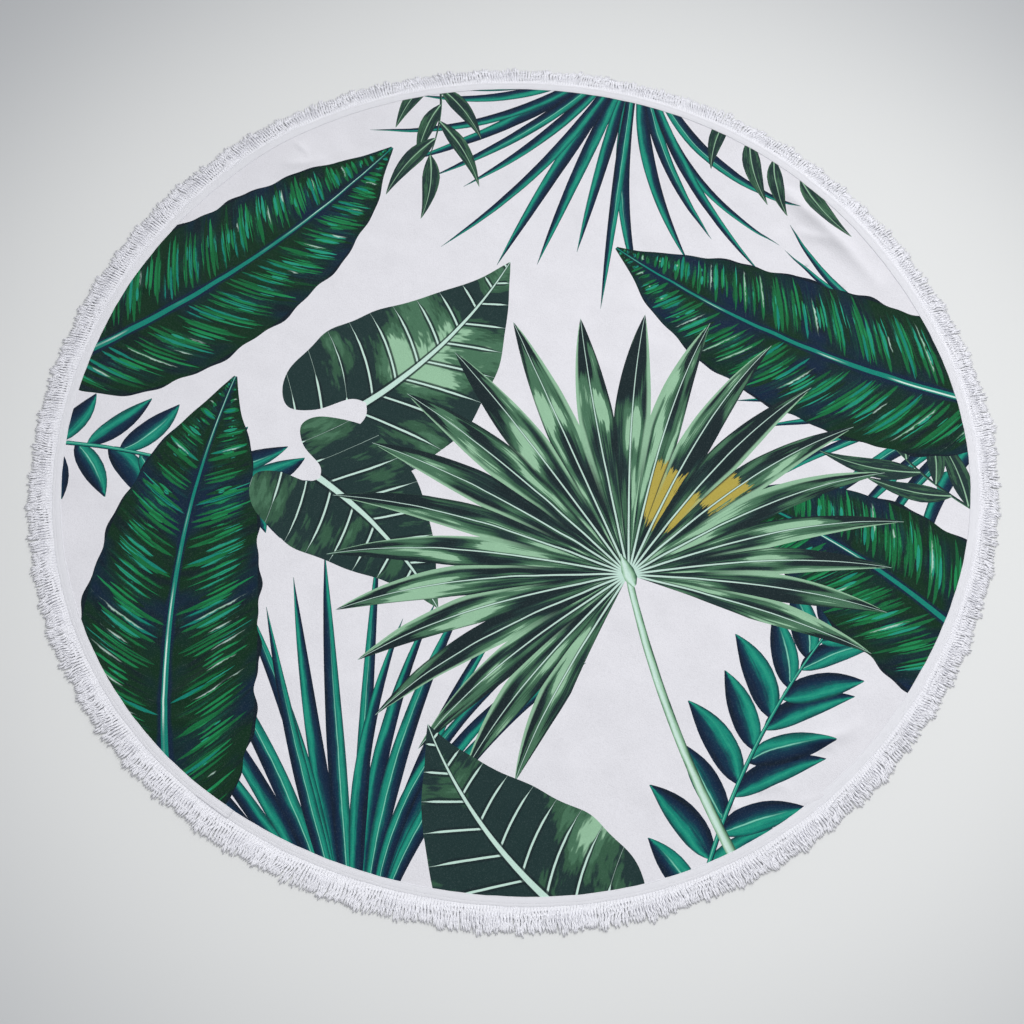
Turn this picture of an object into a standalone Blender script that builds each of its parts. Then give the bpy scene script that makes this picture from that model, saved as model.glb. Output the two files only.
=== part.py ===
"""Round beach towel, laid out flat: a printed disc of pile cloth, a heading tape sewn over its rim, and a cord fringe.

Metres, +Z up. The cloth's underside lies on z = 0, and the origin is the middle of that underside.
"""

import math

import bmesh
import bpy
from mathutils import Vector, geometry

# ---- cloth -----------------------------------------------------------------
CLOTH_R = 0.7100  # cut and hemmed edge, under the tape
CLOTH_T = 0.0025  # cloth with its pile
# ---- heading tape ----------------------------------------------------------
TAPE_IN_R = 0.7040  # inner edge, where the print stops
TAPE_OUT_R = 0.7180
TAPE_T = 0.0010
TAPE_GAP = 0.0004  # above the cloth's face
LAP_TURN = 234.4  # degrees, where the tape's two ends lap
LAP_HALF = 3.0  # degrees each way
LAP_RISE = 0.0008  # the lapped end is this much thicker
# ---- fringe ----------------------------------------------------------------
SPINE_IN_R = 0.7105  # the fringe's own header, butted to the hem
SPINE_OUT_R = 0.7186
TIP_R = 0.7503
SPINE_T = 0.0022
TIP_T = 0.0016
TIP_SHARE = 0.66  # of a tooth's root width that its tip keeps
# ---- fineness --------------------------------------------------------------
STATIONS = 96  # round the rim, shared by all three pieces
TEETH = 2 * STATIONS

# The rim isn't a true circle: cosine waves on the radius.
# waves round, size in m, turn in degrees
RIM_WAVES = (
    (1, 0.0021, -22),
    (2, 0.0011, 145),
    (3, 0.0023, -73),
    (4, 0.0019, 95),
    (5, 0.0022, -28),
    (6, 0.0015, -22),
)
# The same for the line of the fringe tips, with shorter waves for its scallops.
TIP_WAVES = (
    (1, 0.0037, -113),
    (3, 0.0013, -38),
    (4, 0.0018, 116),
    (5, 0.0023, -17),
    (6, 0.0011, 18),
    (23, 0.0009, 40),
    (37, 0.0010, 115),
)

# Soft creases in the cloth, each a ridge of raised-cosine section.
# name, start x, start y, end x, end y, bow, half width, height: all in m
CREASES = (
    ("shoulder", 0.405, 0.536, 0.612, 0.280, 0.010, 0.027, 0.0062),
    ("shoulder_spur", 0.455, 0.412, 0.540, 0.384, 0.003, 0.020, 0.0026),
    ("low_right", 0.418, -0.474, 0.514, -0.436, -0.012, 0.021, 0.0044),
    ("low_right_short", 0.358, -0.547, 0.402, -0.541, 0.004, 0.016, 0.0024),
    ("low_right_bent", 0.288, -0.560, 0.328, -0.584, 0.006, 0.017, 0.0030),
    ("low_left", -0.415, -0.330, -0.518, -0.430, 0.018, 0.024, 0.0046),
    ("low_left_spur", -0.448, -0.464, -0.500, -0.454, -0.004, 0.016, 0.0024),
    ("high_left", -0.400, 0.533, -0.315, 0.557, -0.006, 0.019, 0.0028),
    ("left_nick", -0.626, 0.274, -0.588, 0.286, 0.003, 0.016, 0.0022),
    ("mid_right", 0.180, -0.150, 0.262, -0.124, 0.010, 0.024, 0.0020),
)
CREASE_PITCH = 0.75  # of a crease's half width, between sections along it
CREASE_ROWS = (-1.0, -0.7, -0.35, 0.0, 0.35, 0.7, 1.0)

# Where the rim lifts a little off the surface.
# turn in degrees, half width in degrees, height in m
RIM_LIFTS = (
    (126.0, 9.0, 0.0026),
    (156.0, 7.5, 0.0018),
    (219.5, 9.5, 0.0028),
    (234.4, 6.0, 0.0020),
    (301.0, 9.0, 0.0026),
    (38.0, 8.0, 0.0016),
    (345.0, 8.0, 0.0014),
)
LIFT_FROM_R, LIFT_FULL_R = 0.610, 0.692

# Rings of points that carry the flat middle of the cloth.
# radius in m, points round
RINGS = (
    (0.150, 8),
    (0.300, 16),
    (0.430, 24),
    (0.530, 48),
    (0.610, 96),
    (0.637, 96),
    (0.664, 96),
    (0.692, 96),
)

CLEAR_OF_CREASE = 0.006


def waves(table, turn):
    return sum(size * math.cos(n * turn - math.radians(at)) for n, size, at in table)


def bump(share):
    """1 in the middle, 0 from share 1 outwards, with no kink at either."""
    return 0.5 + 0.5 * math.cos(math.pi * min(abs(share), 1.0))


def station_lift(index):
    degrees = 360.0 * index / STATIONS
    total = 0.0
    for turn, half, height in RIM_LIFTS:
        away = (degrees - turn + 180.0) % 360.0 - 180.0
        if abs(away) < half:
            total += height * bump(away / half)
    return total


def rim_lift(turn):
    """Straight from one station to the next, so that pieces which share the stations stay parallel."""
    place = (turn / (2 * math.pi) * STATIONS) % STATIONS
    low = int(place)
    part = place - low
    if part < 1e-6:
        part = 0.0
    return station_lift(low) * (1 - part) + station_lift(low + 1) * part


def crease_frame(row):
    """Start, direction, side direction and length of a crease's straight base line."""
    _, x0, y0, x1, y1, _, _, _ = row
    start, end = Vector((x0, y0)), Vector((x1, y1))
    along = (end - start).normalized()
    return start, along, Vector((-along.y, along.x)), (end - start).length


def crease_height(row, point):
    start, along, side, length = crease_frame(row)
    bow, half, height = row[5:]
    s = (point - start).dot(along) / length
    if s <= 0 or s >= 1:
        return 0.0
    middle = bow * 4 * s * (1 - s)
    across = ((point - start).dot(side) - middle) / half
    if abs(across) > 0.999:
        return 0.0
    # it swells quickly from its start and dies away slowly
    return height * bump(across) * math.sin(math.pi * s**0.85) ** 1.2


def height_at(point):
    total = sum(crease_height(row, point) for row in CREASES)
    r = point.length
    if r > LIFT_FROM_R:
        turn = math.atan2(point.y, point.x) % (2 * math.pi)
        share = min((r - LIFT_FROM_R) / (LIFT_FULL_R - LIFT_FROM_R), 1.0)
        total += rim_lift(turn) * (0.5 - 0.5 * math.cos(math.pi * share))
    return total if total > 2e-6 else 0.0


def polar(r, turn):
    return Vector((r * math.cos(turn), r * math.sin(turn)))


def rim_point(r, turn):
    """A point at nominal radius r, moved out or in with the rim's waves, which fade towards the middle."""
    return polar(r + waves(RIM_WAVES, turn) * (r / CLOTH_R) ** 4, turn)


def near_crease(point):
    for row in CREASES:
        start, along, side, length = crease_frame(row)
        s = (point - start).dot(along)
        if -CLEAR_OF_CREASE < s < length + CLEAR_OF_CREASE:
            middle = row[5] * 4 * (s / length) * (1 - s / length)
            if abs((point - start).dot(side) - middle) < row[6] + CLEAR_OF_CREASE:
                return True
    return False


def cloth_points():
    """Plan points of the cloth: the rim first, then each crease's sections, then the rings between."""
    rim = [rim_point(CLOTH_R, 2 * math.pi * i / STATIONS) for i in range(STATIONS)]
    points = []
    for row in CREASES:
        start, along, side, length = crease_frame(row)
        bow, half = row[5], row[6]
        sections = max(4, round(length / (half * CREASE_PITCH)))
        for k in range(sections + 1):
            s = k / sections
            rows = CREASE_ROWS if 0 < k < sections else (-1.0, 0.0, 1.0)
            for across in rows:
                point = (
                    start
                    + along * (s * length)
                    + side * (bow * 4 * s * (1 - s) + across * half)
                )
                if all((point - other).length > 0.0035 for other in points):
                    points.append(point)
    for r, count in RINGS:
        for i in range(count):
            point = rim_point(r, 2 * math.pi * i / count)
            if not near_crease(point):
                points.append(point)
    return rim, [p for p in points if p.length < CLOTH_R - 0.010]


def new_object(name, bm, material):
    mesh = bpy.data.meshes.new(name)
    bmesh.ops.recalc_face_normals(bm, faces=bm.faces)
    bm.to_mesh(mesh)
    bm.free()
    mesh.materials.append(material)
    obj = bpy.data.objects.new(name, mesh)
    return obj


def thicken(bm, thickness_of):
    """Raises a copy of the sheet straight up and closes the sides."""
    made = bmesh.ops.extrude_face_region(bm, geom=bm.faces[:])
    raised = [v for v in made["geom"] if isinstance(v, bmesh.types.BMVert)]
    for vertex in raised:
        vertex.co.z += thickness_of(vertex.co)


def cloth_sheet():
    rim, inner = cloth_points()
    edges = [(i, (i + 1) % STATIONS) for i in range(STATIONS)]
    found = geometry.delaunay_2d_cdt(rim + inner, edges, [], 1, 1e-6, False)
    bm = bmesh.new()
    vertices = [bm.verts.new((p.x, p.y, height_at(p))) for p in found[0]]
    for face in found[2]:
        bm.faces.new([vertices[i] for i in face])
    thicken(bm, lambda at: CLOTH_T)
    return bm


def tape_ring():
    """The tape's flat section, spun round the rim and laid on its waves and lifts."""
    z = CLOTH_T + TAPE_GAP
    section = (
        (TAPE_IN_R, z),
        (TAPE_OUT_R, z),
        (TAPE_OUT_R, z + TAPE_T),
        (TAPE_IN_R, z + TAPE_T),
    )
    bm = bmesh.new()
    corners = [bm.verts.new((r, 0.0, height)) for r, height in section]
    loop = [bm.edges.new((corners[i], corners[(i + 1) % 4])) for i in range(4)]
    bmesh.ops.spin(
        bm,
        geom=corners + loop,
        cent=(0, 0, 0),
        axis=(0, 0, 1),
        angle=2 * math.pi,
        steps=STATIONS,
        use_merge=True,
    )
    bmesh.ops.remove_doubles(bm, verts=bm.verts, dist=1e-5)
    for vertex in bm.verts:
        flat = Vector((vertex.co.x, vertex.co.y))
        turn = math.atan2(flat.y, flat.x) % (2 * math.pi)
        moved = polar(flat.length + waves(RIM_WAVES, turn), turn)
        degrees = (math.degrees(turn) - LAP_TURN + 180.0) % 360.0 - 180.0
        on_top = vertex.co.z > z + 0.5 * TAPE_T
        lap = LAP_RISE if on_top and abs(degrees) < LAP_HALF else 0.0
        vertex.co = (moved.x, moved.y, vertex.co.z + rim_lift(turn) + lap)
    return bm


def scatter(index, salt):
    """An even spread of values from -1 to 1, the same each time."""
    return 2.0 * ((index * 0.754877666 + salt * 0.569840291) % 1.0) - 1.0


def comb_sheet():
    """The fringe from above: a narrow spine with a tooth on each of its steps, no two teeth alike."""
    step = 2 * math.pi / TEETH
    bm = bmesh.new()

    def place(r, turn, lift_share):
        flat = polar(r, turn)
        return bm.verts.new((flat.x, flat.y, rim_lift(turn) * lift_share))

    inner, root = [], []
    for i in range(TEETH):
        turn = i * step
        wave = waves(RIM_WAVES, turn)
        inner.append(place(SPINE_IN_R + wave, turn, 1.0))
        root.append(place(SPINE_OUT_R + wave, turn, 1.0))
    for i in range(TEETH):
        after = (i + 1) % TEETH
        bm.faces.new((inner[i], root[i], root[after], inner[after]))
        middle = (i + 0.5) * step
        lean = 0.24 * step * scatter(i, 1)
        half = 0.5 * step * TIP_SHARE * (1.0 + 0.22 * scatter(i, 2))
        reach = TIP_R + waves(TIP_WAVES, middle) + 0.0017 * scatter(i, 3)
        skew = 0.0011 * scatter(i, 4)
        left = place(reach + skew, middle + lean - half, 0.4)
        right = place(reach - skew, middle + lean + half, 0.4)
        bm.faces.new((root[i], left, right, root[after]))

    def thickness(at):
        r = math.hypot(at.x, at.y)
        share = min(max((r - SPINE_OUT_R - 0.006) / (TIP_R - SPINE_OUT_R - 0.006), 0), 1)
        return SPINE_T + (TIP_T - SPINE_T) * share

    thicken(bm, thickness)
    return bm


def finish(name, colour, roughness, sheen):
    material = bpy.data.materials.new(name)
    material.use_nodes = True
    shader = material.node_tree.nodes["Principled BSDF"]
    shader.inputs["Base Color"].default_value = (*colour, 1.0)
    shader.inputs["Roughness"].default_value = roughness
    shader.inputs["Sheen Weight"].default_value = sheen
    material.diffuse_color = (*colour, 1.0)
    return material


def main():
    for obj in list(bpy.data.objects):
        bpy.data.objects.remove(obj, do_unlink=True)
    towel = bpy.data.collections.new("round_beach_towel")
    bpy.context.scene.collection.children.link(towel)
    pieces = (
        ("towel_cloth", cloth_sheet(), finish("printed_pile", (0.42, 0.50, 0.48), 0.9, 0.3)),
        ("heading_tape", tape_ring(), finish("woven_tape", (0.86, 0.86, 0.89), 0.8, 0.1)),
        ("fringe_comb", comb_sheet(), finish("fringe_cord", (0.84, 0.84, 0.87), 0.85, 0.2)),
    )
    for name, bm, material in pieces:
        towel.objects.link(new_object(name, bm, material))


main()
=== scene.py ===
"""Looks of the round beach towel: printed pile cloth, woven heading tape with its stitching, and a fringe of twisted cords.

Metres, +Z up. The towel lies on z = 0, its middle at the origin, and the sizes below are those of the solid model.
"""

import math

import bpy
import numpy as np
from mathutils import Matrix, Vector, geometry


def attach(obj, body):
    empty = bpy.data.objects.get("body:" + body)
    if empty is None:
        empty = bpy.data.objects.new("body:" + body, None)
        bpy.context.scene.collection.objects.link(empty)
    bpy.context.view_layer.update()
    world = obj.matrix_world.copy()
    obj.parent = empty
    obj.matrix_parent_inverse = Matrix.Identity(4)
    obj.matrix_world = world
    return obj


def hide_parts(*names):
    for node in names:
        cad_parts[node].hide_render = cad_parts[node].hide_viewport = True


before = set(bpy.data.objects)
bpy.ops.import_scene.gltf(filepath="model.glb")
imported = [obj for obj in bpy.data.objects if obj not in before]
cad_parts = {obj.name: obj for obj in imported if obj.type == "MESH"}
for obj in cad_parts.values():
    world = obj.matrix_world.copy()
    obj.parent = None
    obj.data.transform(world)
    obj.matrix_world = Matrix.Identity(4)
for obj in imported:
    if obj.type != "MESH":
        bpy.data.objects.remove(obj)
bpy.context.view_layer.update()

# ---- sizes shared with the solid model ---------------------------------------
CLOTH_R, CLOTH_T = 0.7100, 0.0025
TAPE_IN_R, TAPE_OUT_R = 0.7040, 0.7180
LAP_TURN, LAP_HALF = 234.4, 3.0
TIP_R = 0.7503

# waves round, size in m, turn in degrees
RIM_WAVES = (
    (1, 0.0021, -22),
    (2, 0.0011, 145),
    (3, 0.0023, -73),
    (4, 0.0019, 95),
    (5, 0.0022, -28),
    (6, 0.0015, -22),
)
TIP_WAVES = (
    (1, 0.0037, -113),
    (3, 0.0013, -38),
    (4, 0.0018, 116),
    (5, 0.0023, -17),
    (6, 0.0011, 18),
    (23, 0.0009, 40),
    (37, 0.0010, 115),
)

# name, start x, start y, end x, end y, bow, half width, height: all in m
CREASES = (
    ("shoulder", 0.405, 0.536, 0.612, 0.280, 0.010, 0.027, 0.0062),
    ("shoulder_spur", 0.455, 0.412, 0.540, 0.384, 0.003, 0.020, 0.0026),
    ("low_right", 0.418, -0.474, 0.514, -0.436, -0.012, 0.021, 0.0044),
    ("low_right_short", 0.358, -0.547, 0.402, -0.541, 0.004, 0.016, 0.0024),
    ("low_right_bent", 0.288, -0.560, 0.328, -0.584, 0.006, 0.017, 0.0030),
    ("low_left", -0.415, -0.330, -0.518, -0.430, 0.018, 0.024, 0.0046),
    ("low_left_spur", -0.448, -0.464, -0.500, -0.454, -0.004, 0.016, 0.0024),
    ("high_left", -0.400, 0.533, -0.315, 0.557, -0.006, 0.019, 0.0028),
    ("left_nick", -0.626, 0.274, -0.588, 0.286, 0.003, 0.016, 0.0022),
    ("mid_right", 0.180, -0.150, 0.262, -0.124, 0.010, 0.024, 0.0020),
    # small drags beside them
    ("drag_high_right", 0.438, 0.502, 0.520, 0.452, 0.004, 0.012, 0.0013),
    ("drag_low_right", 0.422, -0.470, 0.480, -0.494, 0.004, 0.012, 0.0014),
    ("drag_right_rim", 0.400, -0.566, 0.464, -0.543, -0.004, 0.012, 0.0012),
    ("stroke_low_left", -0.424, -0.346, -0.444, -0.396, 0.004, 0.011, 0.0017),
    ("nick_low_left", -0.538, -0.400, -0.552, -0.438, 0.002, 0.010, 0.0013),
    ("drag_low_left", -0.552, -0.440, -0.430, -0.423, 0.006, 0.012, 0.0010),
    ("drag_high_left", -0.388, 0.586, -0.352, 0.548, 0.003, 0.011, 0.0013),
)

# turn in degrees, half width in degrees, height in m
RIM_LIFTS = (
    (126.0, 9.0, 0.0026),
    (156.0, 7.5, 0.0018),
    (219.5, 9.5, 0.0028),
    (234.4, 6.0, 0.0020),
    (301.0, 9.0, 0.0026),
    (38.0, 8.0, 0.0016),
    (345.0, 8.0, 0.0014),
)
LIFT_FROM_R, LIFT_FULL_R = 0.610, 0.692


def waves(table, turn):
    return sum(size * np.cos(n * turn - math.radians(at)) for n, size, at in table)


def bump(share):
    """1 in the middle, 0 from share 1 outwards, with no kink at either."""
    return 0.5 + 0.5 * np.cos(math.pi * np.minimum(np.abs(share), 1.0))


def rim_lift(turn):
    degrees = np.degrees(turn)
    total = 0.0 * degrees
    for at, half, height in RIM_LIFTS:
        total = total + height * bump(((degrees - at + 180.0) % 360.0 - 180.0) / half)
    return total


def crease_frame(row):
    start, end = np.array(row[1:3]), np.array(row[3:5])
    length = float(np.linalg.norm(end - start))
    along = (end - start) / length
    return start, along, np.array((-along[1], along[0])), length


def crease_height(row, points):
    start, along, side, length = crease_frame(row)
    bow, half, height = row[5:]
    s = (points - start) @ along / length
    on = np.clip(s, 0, 1)
    across = ((points - start) @ side - bow * 4 * on * (1 - on)) / half
    # a narrower ridge on the crease's body
    ridge = height * (bump(across) + 0.42 * bump(across / 0.52)) * np.sin(math.pi * on**0.85) ** 1.2
    return np.where((s > 0) & (s < 1), ridge, 0.0)


def rumple(points):
    """Low broad rises of a cloth laid by hand: mostly flat between them, and none at the rim."""
    x, y = points.T
    drift = 0.018 * np.sin(9 * x - 6 * y + 0.5)
    rise = (
        0.50 * np.sin(58 * (x + drift) + 31 * y + 0.8)
        + 0.42 * np.sin(-37 * x + 66 * (y + drift) + 2.3)
        + 0.32 * np.sin(92 * x - 44 * (y - drift) + 4.1)
        + 0.26 * np.sin(23 * x + 98 * (y + drift) + 1.9)
    )
    patchy = 0.62 + 0.38 * np.sin(5.3 * x - 4.1 * y + 0.6)
    inside_rim = np.clip((0.692 - np.hypot(x, y)) / 0.06, 0, 1)
    crest = np.clip(rise + 0.08, 0, None) ** 1.5
    return 0.0023 * crest / (1 + 0.35 * crest) * patchy * inside_rim**2 * (3 - 2 * inside_rim)


def height_at(points):
    """How far the cloth's underside stands off the floor at each plan point."""
    total = sum(crease_height(row, points) for row in CREASES) + rumple(points)
    r = np.linalg.norm(points, axis=1)
    turn = np.arctan2(points[:, 1], points[:, 0])
    share = np.clip((r - LIFT_FROM_R) / (LIFT_FULL_R - LIFT_FROM_R), 0, 1)
    return total + rim_lift(turn) * (0.5 - 0.5 * np.cos(math.pi * share))


def polar(r, turn):
    return np.stack([r * np.cos(turn), r * np.sin(turn)], -1)


def rim_points(r, turn):
    """Plan points at nominal radius r, moved with the rim's waves, which fade towards the middle."""
    return polar(r + waves(RIM_WAVES, turn) * (r / CLOTH_R) ** 4, turn)


def swell(points):
    """The pile's own slight unevenness on the upper face, in m."""
    x, y = points.T
    return 0.00022 * (
        np.sin(31 * x + 12 * y + 0.4) * np.sin(-9 * x + 27 * y + 1.1)
        + 0.7 * np.sin(61 * x - 38 * y + 2.0)
        + 0.5 * np.sin(44 * x + 83 * y)
        + 0.4 * np.sin(118 * x + 31 * y + 0.7)
    )



# ---- material nodes as plain arithmetic ---------------------------------------
def linear(r, g, b):
    """A colour given as 0-255 screen values, as the shader wants it."""
    return tuple(
        c / 12.92 if c <= 0.04045 else ((c + 0.055) / 1.055) ** 2.4
        for c in (r / 255, g / 255, b / 255)
    )


class Signal:
    """A node's output, with arithmetic that adds the nodes for it."""

    def __init__(self, tree, socket):
        self.tree, self.socket = tree, socket

    def calc(self, kind, *others, clamp=False):
        node = self.tree.nodes.new("ShaderNodeMath")
        node.operation, node.use_clamp = kind, clamp
        for slot, value in zip(node.inputs, (self, *others)):
            plug(self.tree, slot, value)
        return Signal(self.tree, node.outputs[0])

    def __add__(self, other):
        return self.calc("ADD", other)

    def __sub__(self, other):
        return self.calc("SUBTRACT", other)

    def __rsub__(self, other):
        node = self.tree.nodes.new("ShaderNodeMath")
        node.operation = "SUBTRACT"
        plug(self.tree, node.inputs[0], other)
        plug(self.tree, node.inputs[1], self)
        return Signal(self.tree, node.outputs[0])

    def __mul__(self, other):
        return self.calc("MULTIPLY", other)

    def __truediv__(self, other):
        return self.calc("DIVIDE", other)

    __radd__, __rmul__ = __add__, __mul__

    def floor(self):
        return self.calc("FLOOR")

    def fract(self):
        return self.calc("FRACT")

    def size(self):
        return self.calc("ABSOLUTE")

    def sine(self):
        return self.calc("SINE")

    def low(self, other):
        return self.calc("MINIMUM", other)

    def high(self, other):
        return self.calc("MAXIMUM", other)

    def power(self, other):
        return self.calc("POWER", other)

    def over(self, other):
        return self.calc("GREATER_THAN", other)

    def rise(self, low, high, to_low=0.0, to_high=1.0):
        """0 under low, 1 over high, eased between. The ends may be signals."""
        node = self.tree.nodes.new("ShaderNodeMapRange")
        node.interpolation_type = "SMOOTHSTEP"
        for name, value in (("Value", self), ("From Min", low), ("From Max", high), ("To Min", to_low), ("To Max", to_high)):
            plug(self.tree, node.inputs[name], value)
        return Signal(self.tree, node.outputs["Result"])


def plug(tree, slot, value):
    if isinstance(value, Signal):
        tree.links.new(value.socket, slot)
    elif isinstance(value, tuple) and len(value) == 3 and slot.type == "RGBA":
        slot.default_value = (*value, 1.0)
    else:
        slot.default_value = value


class Paint:
    """One material under way."""

    def __init__(self, name, roughness=0.9, sheen=0.0, sheen_roughness=0.5, sheen_tint=None, specular=0.5):
        self.material = bpy.data.materials.new(name)
        self.material.use_nodes = True
        self.tree = self.material.node_tree
        self.shader = self.tree.nodes["Principled BSDF"]
        self.shader.inputs["Roughness"].default_value = roughness
        self.shader.inputs["Sheen Weight"].default_value = sheen
        self.shader.inputs["Sheen Roughness"].default_value = sheen_roughness
        self.shader.inputs["Specular IOR Level"].default_value = specular
        if sheen_tint:
            self.shader.inputs["Sheen Tint"].default_value = (*sheen_tint, 1.0)

    def signal(self, socket):
        return Signal(self.tree, socket)

    def attribute(self, name):
        node = self.tree.nodes.new("ShaderNodeAttribute")
        node.attribute_name = name
        parts = self.tree.nodes.new("ShaderNodeSeparateXYZ")
        self.tree.links.new(node.outputs["Vector"], parts.inputs[0])
        return [self.signal(parts.outputs[i]) for i in range(3)]

    def place(self):
        """Object coordinates, in m."""
        node = self.tree.nodes.new("ShaderNodeTexCoord")
        return self.signal(node.outputs["Object"])

    def parts(self, vector):
        node = self.tree.nodes.new("ShaderNodeSeparateXYZ")
        plug(self.tree, node.inputs[0], vector)
        return [self.signal(node.outputs[i]) for i in range(3)]

    def vector(self, x, y=0.0, z=0.0):
        node = self.tree.nodes.new("ShaderNodeCombineXYZ")
        for slot, value in zip(node.inputs, (x, y, z)):
            plug(self.tree, slot, value)
        return self.signal(node.outputs[0])

    def noise(self, vector, scale=1.0, detail=2.0, rough=0.5):
        node = self.tree.nodes.new("ShaderNodeTexNoise")
        plug(self.tree, node.inputs["Vector"], vector)
        node.inputs["Scale"].default_value = scale
        node.inputs["Detail"].default_value = detail
        node.inputs["Roughness"].default_value = rough
        return self.signal(node.outputs["Fac"])

    def cells(self, vector, scale=1.0, feature="F1"):
        node = self.tree.nodes.new("ShaderNodeTexVoronoi")
        node.feature = feature
        plug(self.tree, node.inputs["Vector"], vector)
        node.inputs["Scale"].default_value = scale
        return self.signal(node.outputs["Distance"])

    def lots(self, x, y=0.0, z=0.0):
        """Three unrelated values from 0 to 1 for each triple of whole numbers."""
        node = self.tree.nodes.new("ShaderNodeTexWhiteNoise")
        node.noise_dimensions = "3D"
        plug(self.tree, node.inputs["Vector"], self.vector(x, y, z))
        return self.parts(self.signal(node.outputs["Color"]))

    def mix(self, share, one, two, blend="MIX"):
        node = self.tree.nodes.new("ShaderNodeMix")
        node.data_type, node.blend_type, node.clamp_factor = "RGBA", blend, True
        plug(self.tree, node.inputs["Factor"], share)
        plug(self.tree, node.inputs[6], one)
        plug(self.tree, node.inputs[7], two)
        return self.signal(node.outputs[2])

    def ramp(self, share, *stops):
        """stops: place, colour; straight between them."""
        node = self.tree.nodes.new("ShaderNodeValToRGB")
        plug(self.tree, node.inputs[0], share)
        line = node.color_ramp
        while len(line.elements) < len(stops):
            line.elements.new(0.5)
        for element, (at, _) in zip(line.elements, stops):
            element.position = at
        for element, (at, colour) in zip(line.elements, stops):
            element.position, element.color = at, (*colour, 1.0)
        return self.signal(node.outputs[0])

    def bump(self, height, distance, strength=1.0, after=None):
        node = self.tree.nodes.new("ShaderNodeBump")
        node.inputs["Strength"].default_value = strength
        node.inputs["Distance"].default_value = distance
        plug(self.tree, node.inputs["Height"], height)
        if after is not None:
            plug(self.tree, node.inputs["Normal"], after)
        return self.signal(node.outputs[0])

    def finish(self, colour, roughness=None, normal=None):
        plug(self.tree, self.shader.inputs["Base Color"], colour)
        if roughness is not None:
            plug(self.tree, self.shader.inputs["Roughness"], roughness)
        if normal is not None:
            plug(self.tree, self.shader.inputs["Normal"], normal)
        return self.material


# ---- the print's inks ---------------------------------------------------------
WHITE = linear(226, 225, 231)
CHARCOAL = linear(26, 50, 50)
DEEP = linear(16, 34, 38)
SAGE = linear(70, 112, 86)
MOSS = linear(50, 88, 66)
PALE = linear(148, 190, 158)
MINT = linear(196, 226, 214)
GOLD = linear(176, 160, 72)
BOTTLE = linear(0, 44, 22)
LEAF = linear(8, 104, 56)
BRIGHT = linear(18, 132, 76)
TEAL = linear(4, 128, 112)
SEA = linear(30, 150, 125)
NAVY = linear(2, 30, 58)
INK = linear(2, 20, 34)
FOAM = linear(206, 232, 222)


def pile(paint, colour, sheen_side=1.0):
    """Short sheared pile: a fine grain in tone and height, and faint patches where it leans another way."""
    at = paint.place()
    grain = paint.noise(at, 560.0, 2.0, 0.75)
    fine = paint.noise(at, 1350.0, 1.0, 0.5)
    lean = paint.noise(at, 17.0, 3.0, 0.6)
    tone = 0.93 + (grain - 0.5) * 0.30 + (fine - 0.5) * 0.16 + (lean - 0.5) * 0.12
    tone = tone + 0.07
    shade = paint.mix(1.0, colour, paint.vector(tone, tone, tone), "MULTIPLY")
    # the ground threads show through dark ink as paler specks
    speck = (grain * 0.6 + fine * 0.4).rise(0.50, 0.72) * 0.085
    shade = paint.mix(speck, shade, linear(165, 178, 178))
    tall = paint.bump(grain + fine * 0.5, 0.0010, 0.55)
    tall = paint.bump(lean, 0.010, 0.12, tall)
    return paint.finish(shade, None, tall)


def velour(name):
    return Paint(name, roughness=0.92, sheen=0.16, sheen_roughness=0.45, sheen_tint=(0.92, 0.94, 1.0), specular=0.22)


def ground_ink():
    paint = velour("pile_ground")
    return pile(paint, WHITE)


def strokes(paint, q, reach, pitch, salt, begin, end, chance, fat=0.5, soft=0.10, wander=0.25):
    """Brush strokes side by side: one in each cell of q, from reach begin to end, pointed at both ends."""
    grain = paint.noise(paint.vector(q * (1.2 / pitch), reach * 5.0, salt), 1.0, 3.0, 0.7)
    bent = q / pitch + (grain - 0.5) * wander
    cell = bent.floor()
    x = bent.fract() - 0.5
    one, two, three = paint.lots(cell, salt)
    first = one * (begin[1] - begin[0]) + begin[0]
    last = two * (end[1] - end[0]) + end[0]
    along = ((reach - first) / (last - first)).low(1.0).high(0.0)
    body = (along * math.pi).sine().power(0.55) * fat
    rough = (grain - 0.5) * 0.16
    mask = (body + rough - x.size()).rise(0.0, soft)
    return mask * (1.0 - three.over(chance)), one, three


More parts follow.
